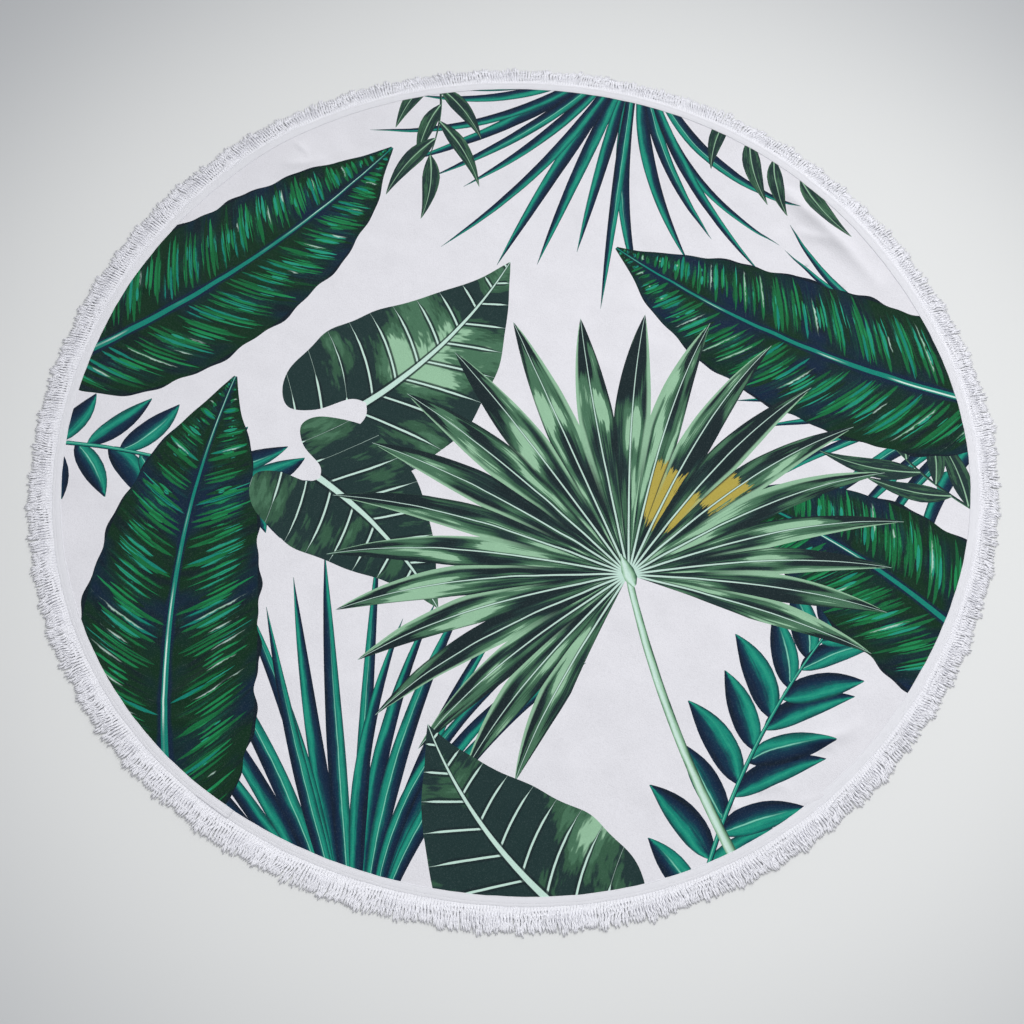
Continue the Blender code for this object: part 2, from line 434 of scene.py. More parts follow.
def broad_ink():
    """A whole leaf in feathered bands: bright brush strokes between dark stretches, along veins that bow forward."""
    paint = velour("pile_broad_leaf")
    s, t, seed = paint.attribute("leaf_place")
    u, v, lot = paint.attribute("leaf_share")
    side = v.over(0.0)
    away = t.size()
    share = v.size()
    q = s - away * 0.42 - away * away * 1.7 + side * 0.0160 + seed * 1.37
    wide = paint.noise(paint.vector(q * 11.0, share * 1.3, seed), 1.0, 2.0, 0.5)
    colour = paint.mix(wide.rise(0.42, 0.70), BOTTLE, NAVY)
    # towards the rib and in the folds the ink is nearly black
    folds = paint.noise(paint.vector(q * 42.0, share * 2.0, seed + 3.0), 1.0, 2.0, 0.6)
    colour = paint.mix(folds.rise(0.50, 0.70) * 0.70, colour, INK)
    # one band to every 38 mm of the leaf, wide in its middle and pointed at both ends
    comb = paint.noise(paint.vector(q * 120.0, share * 4.0, seed + 5.0), 1.0, 3.0, 0.75)
    beside = ((q / 0.038 + (wide - 0.5) * 0.30).fract() - 0.5).size()
    body = ((share.power(0.75) * math.pi).sine().high(0.0)).power(0.6) * 0.40
    band = (body - beside + (comb - 0.5) * 0.34).rise(-0.03, 0.06)
    keep = band * 0.92 + 0.08
    for pitch, salt, begin, end, chance, fat, inks in (
        (0.0110, 3.0, (0.02, 0.30), (0.74, 1.02), 0.95, 0.42, (LEAF, BOTTLE)),
        (0.0086, 5.0, (0.05, 0.45), (0.55, 0.99), 0.84, 0.34, (LEAF, BRIGHT)),
        (0.0130, 7.0, (0.04, 0.40), (0.46, 0.94), 0.55, 0.26, (TEAL, SEA)),
        (0.0062, 9.0, (0.10, 0.60), (0.50, 0.98), 0.44, 0.24, (BRIGHT, SEA)),
    ):
        mask, one, three = strokes(paint, q, share, pitch, salt, begin, end, chance, fat)
        ink = paint.mix(one.rise(0.3, 0.7), inks[0], inks[1])
        colour = paint.mix(mask * keep * 0.96, colour, ink)
    light, _, _ = strokes(paint, q, share, 0.0330, 11.0, (0.20, 0.55), (0.56, 0.92), 0.40, 0.075)
    colour = paint.mix(light * 0.94, colour, MINT)
    # dark hairlines between the veins
    hair, _, _ = strokes(paint, q + 0.0031, share, 0.0125, 13.0, (0.02, 0.3), (0.8, 1.1), 0.75, 0.085, 0.06)
    colour = paint.mix(hair * 0.85, colour, INK)
    # the rib: dark either side, green with a light streak on it
    flank = (0.006 + (1.0 - u) * 0.010 + (wide - 0.5) * 0.014 - away).rise(0.0, 0.006)
    colour = paint.mix(flank * 0.92, colour, NAVY)
    width = (1.0 - u) * 0.0050 + 0.0012
    colour = paint.mix((width - away).rise(-0.0002, 0.0008), colour, TEAL)
    glint = paint.noise(paint.vector(u * 5.0, seed), 1.0, 1.0, 0.5).rise(0.48, 0.60)
    colour = paint.mix((width * 0.30 - (t - width * 0.25).size()).rise(-0.0002, 0.0006) * glint, colour, FOAM)
    colour = paint.mix(share.rise(0.968, 0.990) * 0.9, colour, INK)
    return pile(paint, colour)


def leaflet_ink():
    """A narrow leaf: navy along one side, teal along the other, a light line between on some."""
    paint = velour("pile_narrow_leaf")
    s, t, seed = paint.attribute("leaf_place")
    u, v, lot = paint.attribute("leaf_share")
    one, two, three = paint.lots(seed.floor(), 2.0)
    drift = paint.noise(paint.vector(s * 14.0, v * 0.8, seed), 1.0, 3.0, 0.6)
    fine = paint.noise(paint.vector(s * 9.0, v * 4.5, seed + 7.0), 1.0, 3.0, 0.7)
    turned = v * (one.over(0.45) * 2.0 - 1.0)
    place = turned * 0.5 + 0.5 + (drift - 0.5) * 0.55 + (fine - 0.5) * 0.30
    colour = paint.ramp(
        place,
        (0.0, INK), (0.22, NAVY), (0.40, linear(2, 46, 70)), (0.50, linear(2, 78, 84)),
        (0.62, TEAL), (0.74, SEA), (0.84, TEAL), (1.0, linear(2, 84, 78)),
    )
    line = (0.055 - (turned - 0.18 + (drift - 0.5) * 0.25).size()).rise(-0.03, 0.05)
    colour = paint.mix(line * two.over(0.42) * (1.0 - u.rise(0.45, 0.85)), colour, linear(130, 205, 182))
    colour = paint.mix(v.size().rise(0.80, 0.96) * 0.55, colour, NAVY)
    return pile(paint, colour)


def blade_ink():
    paint = velour("pile_bamboo_blade")
    s, t, seed = paint.attribute("leaf_place")
    u, v, lot = paint.attribute("leaf_share")
    drift = paint.noise(paint.vector(s * 16.0, v * 2.6, seed), 1.0, 3.0, 0.65)
    colour = paint.mix(drift.rise(0.50, 0.56), CHARCOAL, MOSS)
    colour = paint.mix(drift.rise(0.63, 0.67), colour, SAGE)
    line = (0.0009 * (1.0 - u) + 0.0003 - t.size()).rise(-0.0003, 0.0004)
    colour = paint.mix(line * 0.9, colour, PALE)
    return pile(paint, colour)


def twig_ink():
    paint = velour("pile_twig")
    u, v, lot = paint.attribute("leaf_share")
    return pile(paint, paint.mix(v.rise(0.1, 0.5), CHARCOAL, SAGE))


def stem_ink():
    paint = velour("pile_sprig_stem")
    s, t, seed = paint.attribute("leaf_place")
    u, v, lot = paint.attribute("leaf_share")
    drift = paint.noise(paint.vector(s * 10.0, v, seed), 1.0, 2.0, 0.5)
    colour = paint.ramp(
        v * 0.5 + 0.5 + (drift - 0.5) * 0.16,
        (0.0, INK), (0.16, NAVY), (0.32, TEAL), (0.55, SEA), (0.66, linear(120, 205, 180)), (0.74, SEA), (0.9, TEAL), (1.0, NAVY),
    )
    return pile(paint, colour)


def stalk_ink():
    paint = velour("pile_fan_stalk")
    s, t, seed = paint.attribute("leaf_place")
    u, v, lot = paint.attribute("leaf_share")
    drift = paint.noise(paint.vector(s * 22.0, v * 0.8, seed), 1.0, 3.0, 0.6)
    colour = paint.ramp(
        v * 0.5 + 0.5 + (drift - 0.5) * 0.35,
        (0.0, CHARCOAL), (0.10, SAGE), (0.26, PALE), (0.48, MINT), (0.72, FOAM), (0.88, PALE), (1.0, SAGE),
    )
    return pile(paint, colour)


def brushed(paint, place, level, soft=0.02):
    return place.rise(level - soft, level + soft)


def fan_ink():
    """One pleat of the fan: charcoal with sage laid over it in long ragged patches, and a pale rib."""
    paint = velour("pile_fan_leaf")
    s, t, seed = paint.attribute("leaf_place")
    u, v, lot = paint.attribute("leaf_share")
    one, two, three = paint.lots(seed.floor(), 4.0)
    comb = paint.noise(paint.vector(s * 5.0, v * 7.5, seed), 1.0, 3.0, 0.75)
    patch = paint.noise(paint.vector(s * 9.0 + one * 9.0, v * 1.1, seed * 0.37), 1.0, 1.0, 0.4)
    place = patch + (comb - 0.5) * 0.42
    colour = paint.mix(brushed(paint, place, 0.49), CHARCOAL, MOSS)
    colour = paint.mix(brushed(paint, place, 0.545), colour, SAGE)
    tip = u.rise(0.55, 0.95)
    colour = paint.mix(brushed(paint, place - tip * 0.10, 0.625, 0.015), colour, PALE)
    dark = brushed(paint, 1.0 - place + tip * 0.16, 0.585)
    colour = paint.mix(dark, colour, DEEP)
    # gold laid over a few neighbouring pleats, in one or two uneven dabs each
    middle = 0.135 + one * 0.085
    reach = 0.034 + two * 0.034
    ragged = paint.noise(paint.vector(s * 12.0, v * 5.0, seed + 5.0), 1.0, 3.0, 0.7)
    dab = 1.0 - ((s - middle) / reach).size()
    side = 0.5 + (v + 0.30) * (three.over(0.5) * 2.0 - 1.0) * 1.2
    glow = (dab.low(side) + (ragged - 0.5) * 1.5 - 0.05) * lot.over(1.5)
    colour = paint.mix(glow.rise(0.10, 0.15), colour, GOLD)
    # one edge of each pleat catches light, the other lies in shade
    edge = v * (two.over(0.5) * 2.0 - 1.0)
    colour = paint.mix(edge.rise(0.70, 0.86) * (u.rise(0.25, 0.5)) * 0.9, colour, PALE)
    colour = paint.mix((0.0 - edge).rise(0.82, 0.96) * 0.8, colour, DEEP)
    rib = (0.0014 * (1.0 - u) + 0.0003 - t.size()).rise(-0.0003, 0.0004)
    shade = (0.0034 * (1.0 - u) + 0.0006 - t.size()).rise(-0.0003, 0.0008)
    colour = paint.mix(shade * 0.7, colour, DEEP)
    colour = paint.mix(rib * 0.95, colour, MINT)
    return pile(paint, colour)


def heart_ink():
    paint = velour("pile_heart_leaf")
    s, t, seed = paint.attribute("leaf_place")
    u, v, lot = paint.attribute("leaf_share")
    away = t.size()
    side = v.over(0.0)
    q = s - away * 0.62 + away * away * 1.2 + side * 0.011
    comb = paint.noise(paint.vector(q * 34.0, away * 11.0, seed), 1.0, 3.0, 0.75)
    patch = paint.noise(paint.vector(q * 7.0, away * 6.0, seed + 2.0), 1.0, 1.0, 0.4)
    place = patch + (comb - 0.5) * 0.40
    colour = paint.mix(brushed(paint, place, 0.50), CHARCOAL, MOSS)
    colour = paint.mix(brushed(paint, place, 0.56), colour, SAGE)
    colour = paint.mix(brushed(paint, place, 0.63), colour, PALE)
    cell = (q / 0.047).fract() - 0.5
    grown = (1.0 - v.size()).rise(0.02, 0.4)
    shade = ((0.0052 * grown + 0.001) / 0.047 - cell.size()).rise(-0.02, 0.03)
    colour = paint.mix(shade * 0.85, colour, DEEP)
    vein = ((0.0016 * grown + 0.0002) / 0.047 - cell.size()).rise(-0.008, 0.010)
    colour = paint.mix(vein, colour, MINT)
    flank = (0.0085 * (1.0 - u) + 0.002 - away).rise(0.0, 0.002)
    colour = paint.mix(flank * 0.9, colour, DEEP)
    rib = (0.0045 * (1.0 - u) + 0.0006 - away).rise(-0.0003, 0.0006)
    colour = paint.mix(rib, colour, MINT)
    return pile(paint, colour)


def terry_back():
    """Unprinted loops in close rows."""
    paint = Paint("pile_loops", roughness=0.95, sheen=0.25, sheen_roughness=0.5, specular=0.2)
    at = paint.place()
    x, y, z = paint.parts(at)
    wander = paint.noise(at, 90.0, 2.0, 0.6)
    loops = paint.cells(paint.vector(x * 1.15 + wander * 0.0011, y * 1.0, 0.0), 520.0)
    shade = (0.35 - loops).high(0.0) * 0.10
    lean = paint.noise(at, 14.0, 3.0, 0.6)
    # painted shade: the tone falls away from each loop's middle, darker in the gaps between loops
    tone = 0.97 - loops * 0.16 + (lean - 0.5) * 0.07
    colour = paint.mix(1.0, linear(240, 239, 242), paint.vector(tone, tone, tone * 0.995), "MULTIPLY")
    tall = paint.bump(1.0 - loops, 0.0012, 0.7)
    return paint.finish(colour, None, tall)


def print_materials():
    return {
        "ground": ground_ink(),
        "broad": broad_ink(),
        "leaflet": leaflet_ink(),
        "blade": blade_ink(),
        "twig": twig_ink(),
        "stem": stem_ink(),
        "fan": fan_ink(),
        "stalk": stalk_ink(),
        "heart": heart_ink(),
        "terry": terry_back(),
    }


def tape_weave():
    """Close ribs across the tape and a few heavier warp lines along it."""
    paint = Paint("tape_weave", roughness=0.86, sheen=0.12, sheen_roughness=0.4, specular=0.25)
    around, across, _ = paint.attribute("strip_place")
    rib = ((around * (2 * math.pi / 0.00125)).sine() * 0.5 + 0.5)
    warp = ((across * (2 * math.pi / 0.00115)).sine() * 0.5 + 0.5)
    weave = rib * 0.65 + warp * 0.35
    at = paint.place()
    lean = paint.noise(at, 60.0, 3.0, 0.6)
    fuzz = paint.noise(at, 1500.0, 2.0, 0.6)
    # painted shade: the tone follows the weave's height, darker in the hollows between the ribs and warp lines
    tone = 0.94 + weave * 0.05 + (lean - 0.5) * 0.06 + (fuzz - 0.5) * 0.06
    colour = paint.mix(1.0, linear(234, 234, 240), paint.vector(tone, tone, tone), "MULTIPLY")
    tall = paint.bump(weave + fuzz * 0.5, 0.0005, 0.6)
    return paint.finish(colour, None, tall)


def thread_white():
    paint = Paint("stitch_thread", roughness=0.6, sheen=0.05, specular=0.4)
    at = paint.place()
    fuzz = paint.noise(at, 2600.0, 2.0, 0.6)
    tone = 0.95 + (fuzz - 0.5) * 0.14
    colour = paint.mix(1.0, linear(238, 238, 242), paint.vector(tone, tone, tone), "MULTIPLY")
    return paint.finish(colour, None, paint.bump(fuzz, 0.0002, 0.5))


def cord_cotton():
    """Soft twisted cotton: fibres along the twist, a little uneven from cord to cord."""
    paint = Paint("fringe_cotton", roughness=0.9, sheen=0.9, sheen_roughness=0.7, sheen_tint=(0.93, 0.93, 1.0), specular=0.15)
    at = paint.place()
    left, lot, depth = paint.attribute("cord_place")
    fibre = paint.noise(paint.vector(left * 320.0, lot * 91.0, depth * 2.0), 1.0, 2.0, 0.6)
    fuzz = paint.noise(at, 1900.0, 2.0, 0.6)
    tone = 0.985 + (lot - 0.5) * 0.05 + (fibre - 0.5) * 0.06 + (fuzz - 0.5) * 0.06
    # painted shade: greyer on the side of each ply that faces into the twist, and over the last 6 mm to the cut end
    tone = tone - depth * 0.02 - (0.0060 - left).rise(0.0, 0.0060) * 0.26
    colour = paint.mix(1.0, linear(249, 249, 254), paint.vector(tone, tone, tone), "MULTIPLY")
    # loose fibres stand up out of the cord
    tall = paint.bump(fuzz + fibre, 0.0003, 0.35)
    return paint.finish(colour, None, tall)

# ---- the print: leaves worked out from their own sizes -----------------------
# Every leaf is a closed outline in plan plus a way to turn a plan point into the
# leaf's own coordinates: s along it, t across it (both in m), and its half width there.


def unit(v):
    return v / np.linalg.norm(v)


class Rib:
    """A bowed centre line from base to tip, with plan point <-> (s, t)."""

    def __init__(self, base, tip, bow, count=72):
        a, b = np.array(base, float), np.array(tip, float)
        side = unit(np.array([-(b - a)[1], (b - a)[0]]))
        knee = (a + b) / 2 + 2 * bow * side
        u = np.linspace(0, 1, count)[:, None]
        self.points = (1 - u) ** 2 * a + 2 * u * (1 - u) * knee + u**2 * b
        step = np.diff(self.points, axis=0)
        self.lengths = np.linalg.norm(step, axis=1)
        self.starts = np.concatenate([[0], np.cumsum(self.lengths)])
        self.length = float(self.starts[-1])
        self.directions = step / self.lengths[:, None]

    def place(self, s, t):
        """Plan points of leaf coordinates, straight on past either end."""
        s, t = np.broadcast_arrays(np.asarray(s, float), np.asarray(t, float))
        k = np.clip(np.searchsorted(self.starts, s) - 1, 0, len(self.lengths) - 1)
        middle = (self.starts[:-1] + self.starts[1:]) / 2
        along = np.stack(
            [np.interp(s, middle, self.directions[:, i]) for i in (0, 1)], -1
        )
        along /= np.linalg.norm(along, axis=-1, keepdims=True)
        side = np.stack([-along[..., 1], along[..., 0]], -1)
        on = self.points[k] + self.directions[k] * (s - self.starts[k])[..., None]
        return on + side * t[..., None]

    def find(self, points):
        """(s, t) of plan points: the nearest place on the line, the line carried straight on past its ends."""
        best = np.full(len(points), 1e9)
        s_of, t_of = np.zeros(len(points)), np.zeros(len(points))
        last = len(self.lengths) - 1
        for k in range(last + 1):
            away = points - self.points[k]
            s = away @ self.directions[k]
            low = -1e9 if k == 0 else 0.0
            high = 1e9 if k == last else self.lengths[k]
            s = np.clip(s, low, high)
            off = away - self.directions[k] * s[:, None]
            d = np.linalg.norm(off, axis=1)
            near = d < best
            best[near] = d[near]
            cross = self.directions[k][0] * away[:, 1] - self.directions[k][1] * away[:, 0]
            s_of[near] = (self.starts[k] + s)[near]
            t_of[near] = (np.sign(cross) * d)[near]
        return s_of, t_of


def shared(index, salt):
    """An even spread of values from 0 to 1, the same each time."""
    return (index * 0.754877666 + salt * 0.569840291 + 0.137) % 1.0


def spread(index, salt):
    return 2.0 * shared(index, salt) - 1.0


def even(points, pitch):
    """The same closed outline with no side longer than pitch."""
    out = []
    for i, a in enumerate(points):
        b = points[(i + 1) % len(points)]
        n = max(1, int(math.ceil(np.linalg.norm(b - a) / pitch)))
        out.extend(a + (b - a) * k / n for k in range(n))
    return np.array(out)


class Leaf:
    """One printed shape: its outline, its kind of colouring, and its own coordinates."""

    def __init__(self, kind, outline, rib, half, seed, span=None, bend=None):
        self.kind, self.outline, self.rib, self.half = kind, outline, rib, half
        self.seed, self.bend = seed, bend
        self.span = rib.length if span is None else span
        self.lot = shared(seed, 9)

    def coordinates(self, points):
        s, t = self.rib.find(points) if self.bend is None else self.bend(points)
        half = np.maximum(np.interp(s / self.span, *self.half), 1e-4)
        return s, t, s / self.span, t / half


def profile(table):
    """A short table of (share along, half width) read as two arrays with the corners eased."""
    u, w = np.array(table, float).T
    fine = np.linspace(u[0], u[-1], 160)
    slopes = np.gradient(w, u)
    k = np.clip(np.searchsorted(u, fine) - 1, 0, len(u) - 2)
    h = u[k + 1] - u[k]
    x = (fine - u[k]) / h
    value = (
        (2 * x**3 - 3 * x**2 + 1) * w[k]
        + (x**3 - 2 * x**2 + x) * h * slopes[k]
        + (-2 * x**3 + 3 * x**2) * w[k + 1]
        + (x**3 - x**2) * h * slopes[k + 1]
    )
    return fine, np.maximum(value, 0)


# share along the leaf, share of its greatest half width
BROAD = ((0, 0.05), (0.02, 0.30), (0.07, 0.62), (0.18, 0.90), (0.36, 1.0), (0.55, 0.93), (0.72, 0.74), (0.86, 0.44), (0.94, 0.18), (1, 0.02))
OVAL = ((0, 0.10), (0.06, 0.44), (0.20, 0.84), (0.42, 1.0), (0.65, 0.86), (0.85, 0.46), (1, 0.03))
GRASS = ((0, 0.42), (0.10, 0.66), (0.34, 1.0), (0.60, 0.84), (0.84, 0.44), (1, 0.02))
BLADE = ((0, 0.12), (0.12, 0.62), (0.3, 1.0), (0.55, 0.86), (0.8, 0.42), (1, 0.02))
STALK = ((0, 1.0), (0.5, 0.80), (0.9, 0.62), (0.97, 0.5), (1, 0.05))
STEM = ((0, 1.0), (0.5, 0.8), (1, 0.34))


def broad(base, tip, bow, width, seed):
    """A broad whole leaf with a softly waved edge."""
    rib = Rib(base, tip, bow)
    u, w = profile(BROAD)
    w = w * width / 2
    outline = []
    for side in (1, -1):
        s = u * rib.length
        wave = 1 + 0.026 * np.sin(s * 52 + seed * 3 + side) + 0.012 * np.sin(s * 119 + seed * 5 - side)
        placed = rib.place(s, side * w * wave)
        outline.append(placed if side == 1 else placed[::-1])
    return [Leaf("broad", even(np.concatenate(outline), 0.0065), rib, (u, w), seed)]


def strip(kind, base, tip, bow, width, seed, ends=STEM):
    """A tapering stem or midrib."""
    rib = Rib(base, tip, bow)
    u, w = profile(ends)
    w = w * width / 2
    n = max(8, int(rib.length / 0.012))
    at = np.linspace(0, 1, n)
    half = np.interp(at, u, w)
    left = rib.place(at * rib.length, half)
    right = rib.place(at * rib.length, -half)
    return Leaf(kind, np.concatenate([left, right[::-1]]), rib, (u, w), seed)


def lens(kind, base, tip, bow, width, seed, table=OVAL, pitch=0.008):
    rib = Rib(base, tip, bow, 28)
    u, w = profile(table)
    w = w * width / 2
    n = max(7, int(rib.length / pitch))
    at = (1 - np.cos(np.linspace(0, math.pi, n))) / 2
    half = np.interp(at, u, w)
    left = rib.place(at * rib.length, half)
    right = rib.place(at[1:-1] * rib.length, -half[1:-1])
    return Leaf(kind, np.concatenate([left, right[::-1]]), rib, (u, w), seed)


def sprig(base, tip, bow, reach, count, width, seed, first=0.12):
    """Pairs of oval leaflets on a bowed stalk, with one at its end."""
    rib = Rib(base, tip, bow)
    out = []
    for i in range(count):
        u = first + (0.95 - first) * (i / (count - 1)) ** 0.94
        grown = math.sin(math.pi * (0.30 + 0.56 * (u - first) / (1 - first)))
        for side in (1, -1):
            n = 2 * i + (side > 0)
            shift = 0.40 * (0.95 - first) / count * (1 if side > 0 else 0)
            start = rib.place(min(u + shift, 0.99) * rib.length, 0.0)
            ahead = rib.place(min(u + shift, 0.99) * rib.length + 0.01, 0.0) - start
            turn = math.atan2(ahead[1], ahead[0])
            lean = math.radians(58 - 22 * u + 7 * spread(n, seed)) * side
            long = reach * (0.45 + 0.55 * grown) * (1 + 0.10 * spread(n, seed + 3))
            end = start + long * np.array([math.cos(turn + lean), math.sin(turn + lean)])
            wide = width * (0.72 + 0.28 * grown) * (1 + 0.12 * spread(n, seed + 7))
            out.append(lens("leaflet", start, end, -side * long * (0.05 + 0.03 * spread(n, seed + 5)), wide, seed * 100 + n))
    end = rib.place(rib.length, 0.0)
    forward = unit(end - rib.place(rib.length - 0.01, 0.0))
    out.append(lens("leaflet", end - forward * 0.01, end + forward * reach * 0.80, 0.006, width * 0.85, seed * 100 + 99))
    out.append(strip("stem", base, tip, bow, 0.008, seed))
    return out


def tuft(base, facing, reach, count, half_span, width, seed):
    """Long blades of grass that arch out of one foot, the outer ones the most."""
    foot, facing = np.array(base, float), math.radians(facing)
    across = np.array([-math.sin(facing), math.cos(facing)])
    out = []
    for i in sorted(range(count), key=lambda k: shared(k, seed + 1)):
        share = 2 * (i + 0.5) / count - 1 + 0.5 * spread(i, seed) / count
        turn = facing + math.radians(half_span) * share
        long = reach * (1 - 0.20 * abs(share)) * (0.74 + 0.30 * shared(i, seed + 3))
        start = foot + 0.055 * share * across
        end = start + long * np.array([math.cos(turn), math.sin(turn)])
        arch = -long * (0.115 * share + 0.030 * spread(i, seed + 5))
        out.append(lens("leaflet", start, end, arch, width * (0.80 + 0.35 * shared(i, seed + 7)), seed * 100 + i, GRASS, 0.010))
    return out


def spray(base, tip, bow, reach, count, width, seed, kind="blade"):
    """A twig with loose narrow blades, most of them towards its end."""
    rib = Rib(base, tip, bow)
    out = [strip("twig", base, tip, bow, 0.005, seed)]
    for i in range(count):
        u = 0.25 + 0.75 * (i / max(1, count - 1))
        side = 1 if i % 2 else -1
        start = rib.place(u * rib.length, 0.0)
        ahead = rib.place(u * rib.length + 0.01, 0.0) - start
        turn = math.atan2(ahead[1], ahead[0]) + side * math.radians(46 - 30 * u + 14 * spread(i, seed))
        long = reach * (0.80 + 0.32 * shared(i, seed + 2))
        end = start + long * np.array([math.cos(turn), math.sin(turn)])
        out.append(lens(kind, start, end, side * long * 0.06, width * (0.9 + 0.25 * shared(i, seed + 4)), seed * 100 + i, BLADE))
    return out


GILDED = (5, 6, 7, 8)  # pleats of the fan with gold on them


def fan(hub, facing, radius, count, half_span, seed):
    """A pleated fan leaf: blades joined edge to edge near the hub and free further out."""
    hub = np.array(hub, float)
    step = 2 * half_span / count
    out = []

    def bent(angle, share):
        """Blades droop a little to either side, the more the further out they are."""
        return angle + math.radians(9) * math.sin(angle) * share**2

    def place(angle, r):
        turn = bent(angle, r / radius) + facing
        return hub + r * np.array([math.cos(turn), math.sin(turn)])

    for i in range(count):
        middle = -half_span + (i + 0.5) * step
        side_share = abs(middle) / half_span
        reach = radius * (1.0 - 0.22 * side_share**2.4 + 0.030 * spread(i, seed))
        joined = radius * (0.58 - 0.13 * abs(middle - step / 2) / half_span + 0.050 * spread(i, seed + 1))
        joined_after = radius * (0.58 - 0.13 * abs(middle + step / 2) / half_span + 0.050 * spread(i + 1, seed + 1))
        lines = []
        for edge, split in ((-1, joined), (1, joined_after)):
            rs = [0.0022] + list(np.linspace(0.022, split, max(4, int(split / 0.012))))
            line = [place(middle + edge * step / 2, r) for r in rs]
            half_at = split * math.tan(step / 2)
            for q in np.linspace(0, 1, max(5, int((reach - split) / 0.011)))[1:]:
                r = split + (reach - split) * q
                w = half_at * (1 - q**1.55) ** 0.92
                line.append(place(middle + edge * math.atan2(w, r), r))
            lines.append(line)
        outline = np.array(lines[0] + lines[1][::-1][1:])
        u = np.linspace(0, 1, 60)
        r_at = u * reach
        split = (joined + joined_after) / 2
        q = np.clip((r_at - split) / (reach - split), 0, 1)
        half = np.where(
            r_at < split,
            r_at * math.tan(step / 2),
            split * math.tan(step / 2) * (1 - q**1.55) ** 0.92,
        )

        def bend(points, middle=middle):
            away = points - hub
            r = np.linalg.norm(away, axis=1)
            turn = np.arctan2(away[:, 1], away[:, 0]) - facing
            turn = (turn + math.pi) % (2 * math.pi) - math.pi
            # the droop is small, so two passes undo it
            angle = turn.copy()
            for _ in range(6):
                angle = turn - math.radians(9) * np.sin(angle) * (r / radius) ** 2
            return r, r * (angle - middle)

        leaf = Leaf("fan", outline, None, (u, np.maximum(half, 1e-4)), seed * 100 + i, span=reach, bend=bend)
        leaf.lot = 2.0 if i in GILDED else leaf.lot
        out.append(leaf)
    return out


# half outline of a heart-shaped leaf: share of its length along, share across
HEART = ((0.0, 0.0), (-0.05, 0.07), (-0.20, 0.12), (-0.29, 0.22), (-0.25, 0.34), (-0.12, 0.43), (0.06, 0.47), (0.26, 0.44), (0.48, 0.34), (0.68, 0.21), (0.85, 0.09), (0.95, 0.03), (1.0, 0.0))


def heart(base, tip, bow, seed, breadth=1.0):
    rib = Rib(base, tip, bow)
    half = np.array(HEART, float)
    # eased through the table's points
    n = len(half)
    fine = []
    for i in range(n - 1):
        p0, p1, p2, p3 = half[max(i - 1, 0)], half[i], half[i + 1], half[min(i + 2, n - 1)]
        for x in np.linspace(0, 1, 9)[:-1]:
            fine.append(0.5 * ((2 * p1) + (p2 - p0) * x + (2 * p0 - 5 * p1 + 4 * p2 - p3) * x**2 + (3 * p1 - p0 - 3 * p2 + p3) * x**3))
    fine = np.array(fine + [half[-1]])
    s, t = fine[:, 0] * rib.length, fine[:, 1] * rib.length * breadth
    wave = 1 + 0.018 * np.sin(s * 60 + seed)
    left = rib.place(s, t * wave)
    right = rib.place(s[1:-1], -t[1:-1] * (2 - wave[1:-1]))
    u = np.linspace(-0.32, 1, 80)
    outer = np.array([(a, b) for a, b in half if b > 0.0 or a >= 0.99])
    order = np.argsort(outer[:, 0])
    width = np.interp(u, outer[order, 0], outer[order, 1]) * rib.length * breadth
    return [Leaf("heart", even(np.concatenate([left, right[::-1]]), 0.0065), rib, (u, np.maximum(width, 0.01)), seed)]

# ---- the print's layout: back to front ---------------------------------------
# Grass tufts: foot x, y, facing in degrees, reach, blades, half span in degrees, blade width, seed
TUFTS = (
    (0.190, 0.748, -112, 0.500, 17, 66, 0.0215, 1),
    (0.768, 0.110, -170, 0.480, 15, 54, 0.0215, 2),
    (-0.225, -0.748, 107, 0.640, 21, 58, 0.0240, 3),
)
# Sprigs of oval leaflets: base x, y, tip x, y, bow, leaflet reach, leaflet pairs, leaflet width, seed
SPRIGS = (
    (-0.800, 0.000, -0.330, -0.110, 0.030, 0.120, 9, 0.037, 5),
    (0.240, -0.800, 0.510, -0.255, 0.040, 0.140, 10, 0.042, 6),
)
# Bamboo-like sprays: base x, y, tip x, y, bow, blade reach, blades, blade width, seed
SPRAYS = (
    (0.760, -0.130, 0.560, 0.060, 0.020, 0.150, 8, 0.030, 11),
    (0.330, 0.700, 0.480, 0.520, -0.010, 0.140, 7, 0.028, 12),
    (-0.160, 0.800, -0.150, 0.560, 0.020, 0.140, 6, 0.028, 13),
)
# Broad leaves: base x, y, tip x, y, bow, width, seed
BROADS = (
    (0.800, 0.075, 0.165, 0.375, 0.040, 0.262, 21),
    (-0.745, 0.130, -0.215, 0.575, -0.035, 0.262, 22),
    (-0.470, -0.640, -0.445, 0.120, 0.050, 0.270, 23),
    (0.780, -0.440, 0.330, -0.070, -0.040, 0.255, 24),
)
# Heart leaves: base x, y, tip x, y, bow, seed, breadth
HEARTS = (
    (-0.235, 0.075, -0.010, 0.345, -0.020, 31, 0.86),
    (-0.300, -0.060, -0.110, -0.275, 0.015, 33, 0.84),
    (0.070, -0.720, -0.120, -0.455, 0.020, 32, 0.84),
)



def composition():
    """Every printed shape, the lowest first."""
    tufts = [tuft(r[0:2], *r[2:8]) for r in TUFTS]
    sprigs = [sprig(r[0:2], r[2:4], *r[4:9]) for r in SPRIGS]
    sprays = [spray(r[0:2], r[2:4], *r[4:9]) for r in SPRAYS]
    broads = [broad(r[0:2], r[2:4], *r[4:7]) for r in BROADS]
    hearts = [heart(r[0:2], r[2:4], r[4], r[5], r[6]) for r in HEARTS]
    palm = fan((0.175, -0.215), math.radians(112), 0.47, 23, math.radians(132), 41)
    collar = lens("stalk", (0.184, -0.236), (0.163, -0.180), 0.0, 0.021, 43, BLADE)
    stalk = strip("stalk", (0.40, -0.80), (0.172, -0.203), 0.03, 0.017, 42, STALK)
    out = []
    for group in (*tufts, *sprigs, *sprays, broads[0], broads[1], broads[3], broads[2], hearts[0], hearts[1], palm, [stalk, collar], hearts[2]):
        out.extend(group)
    return out



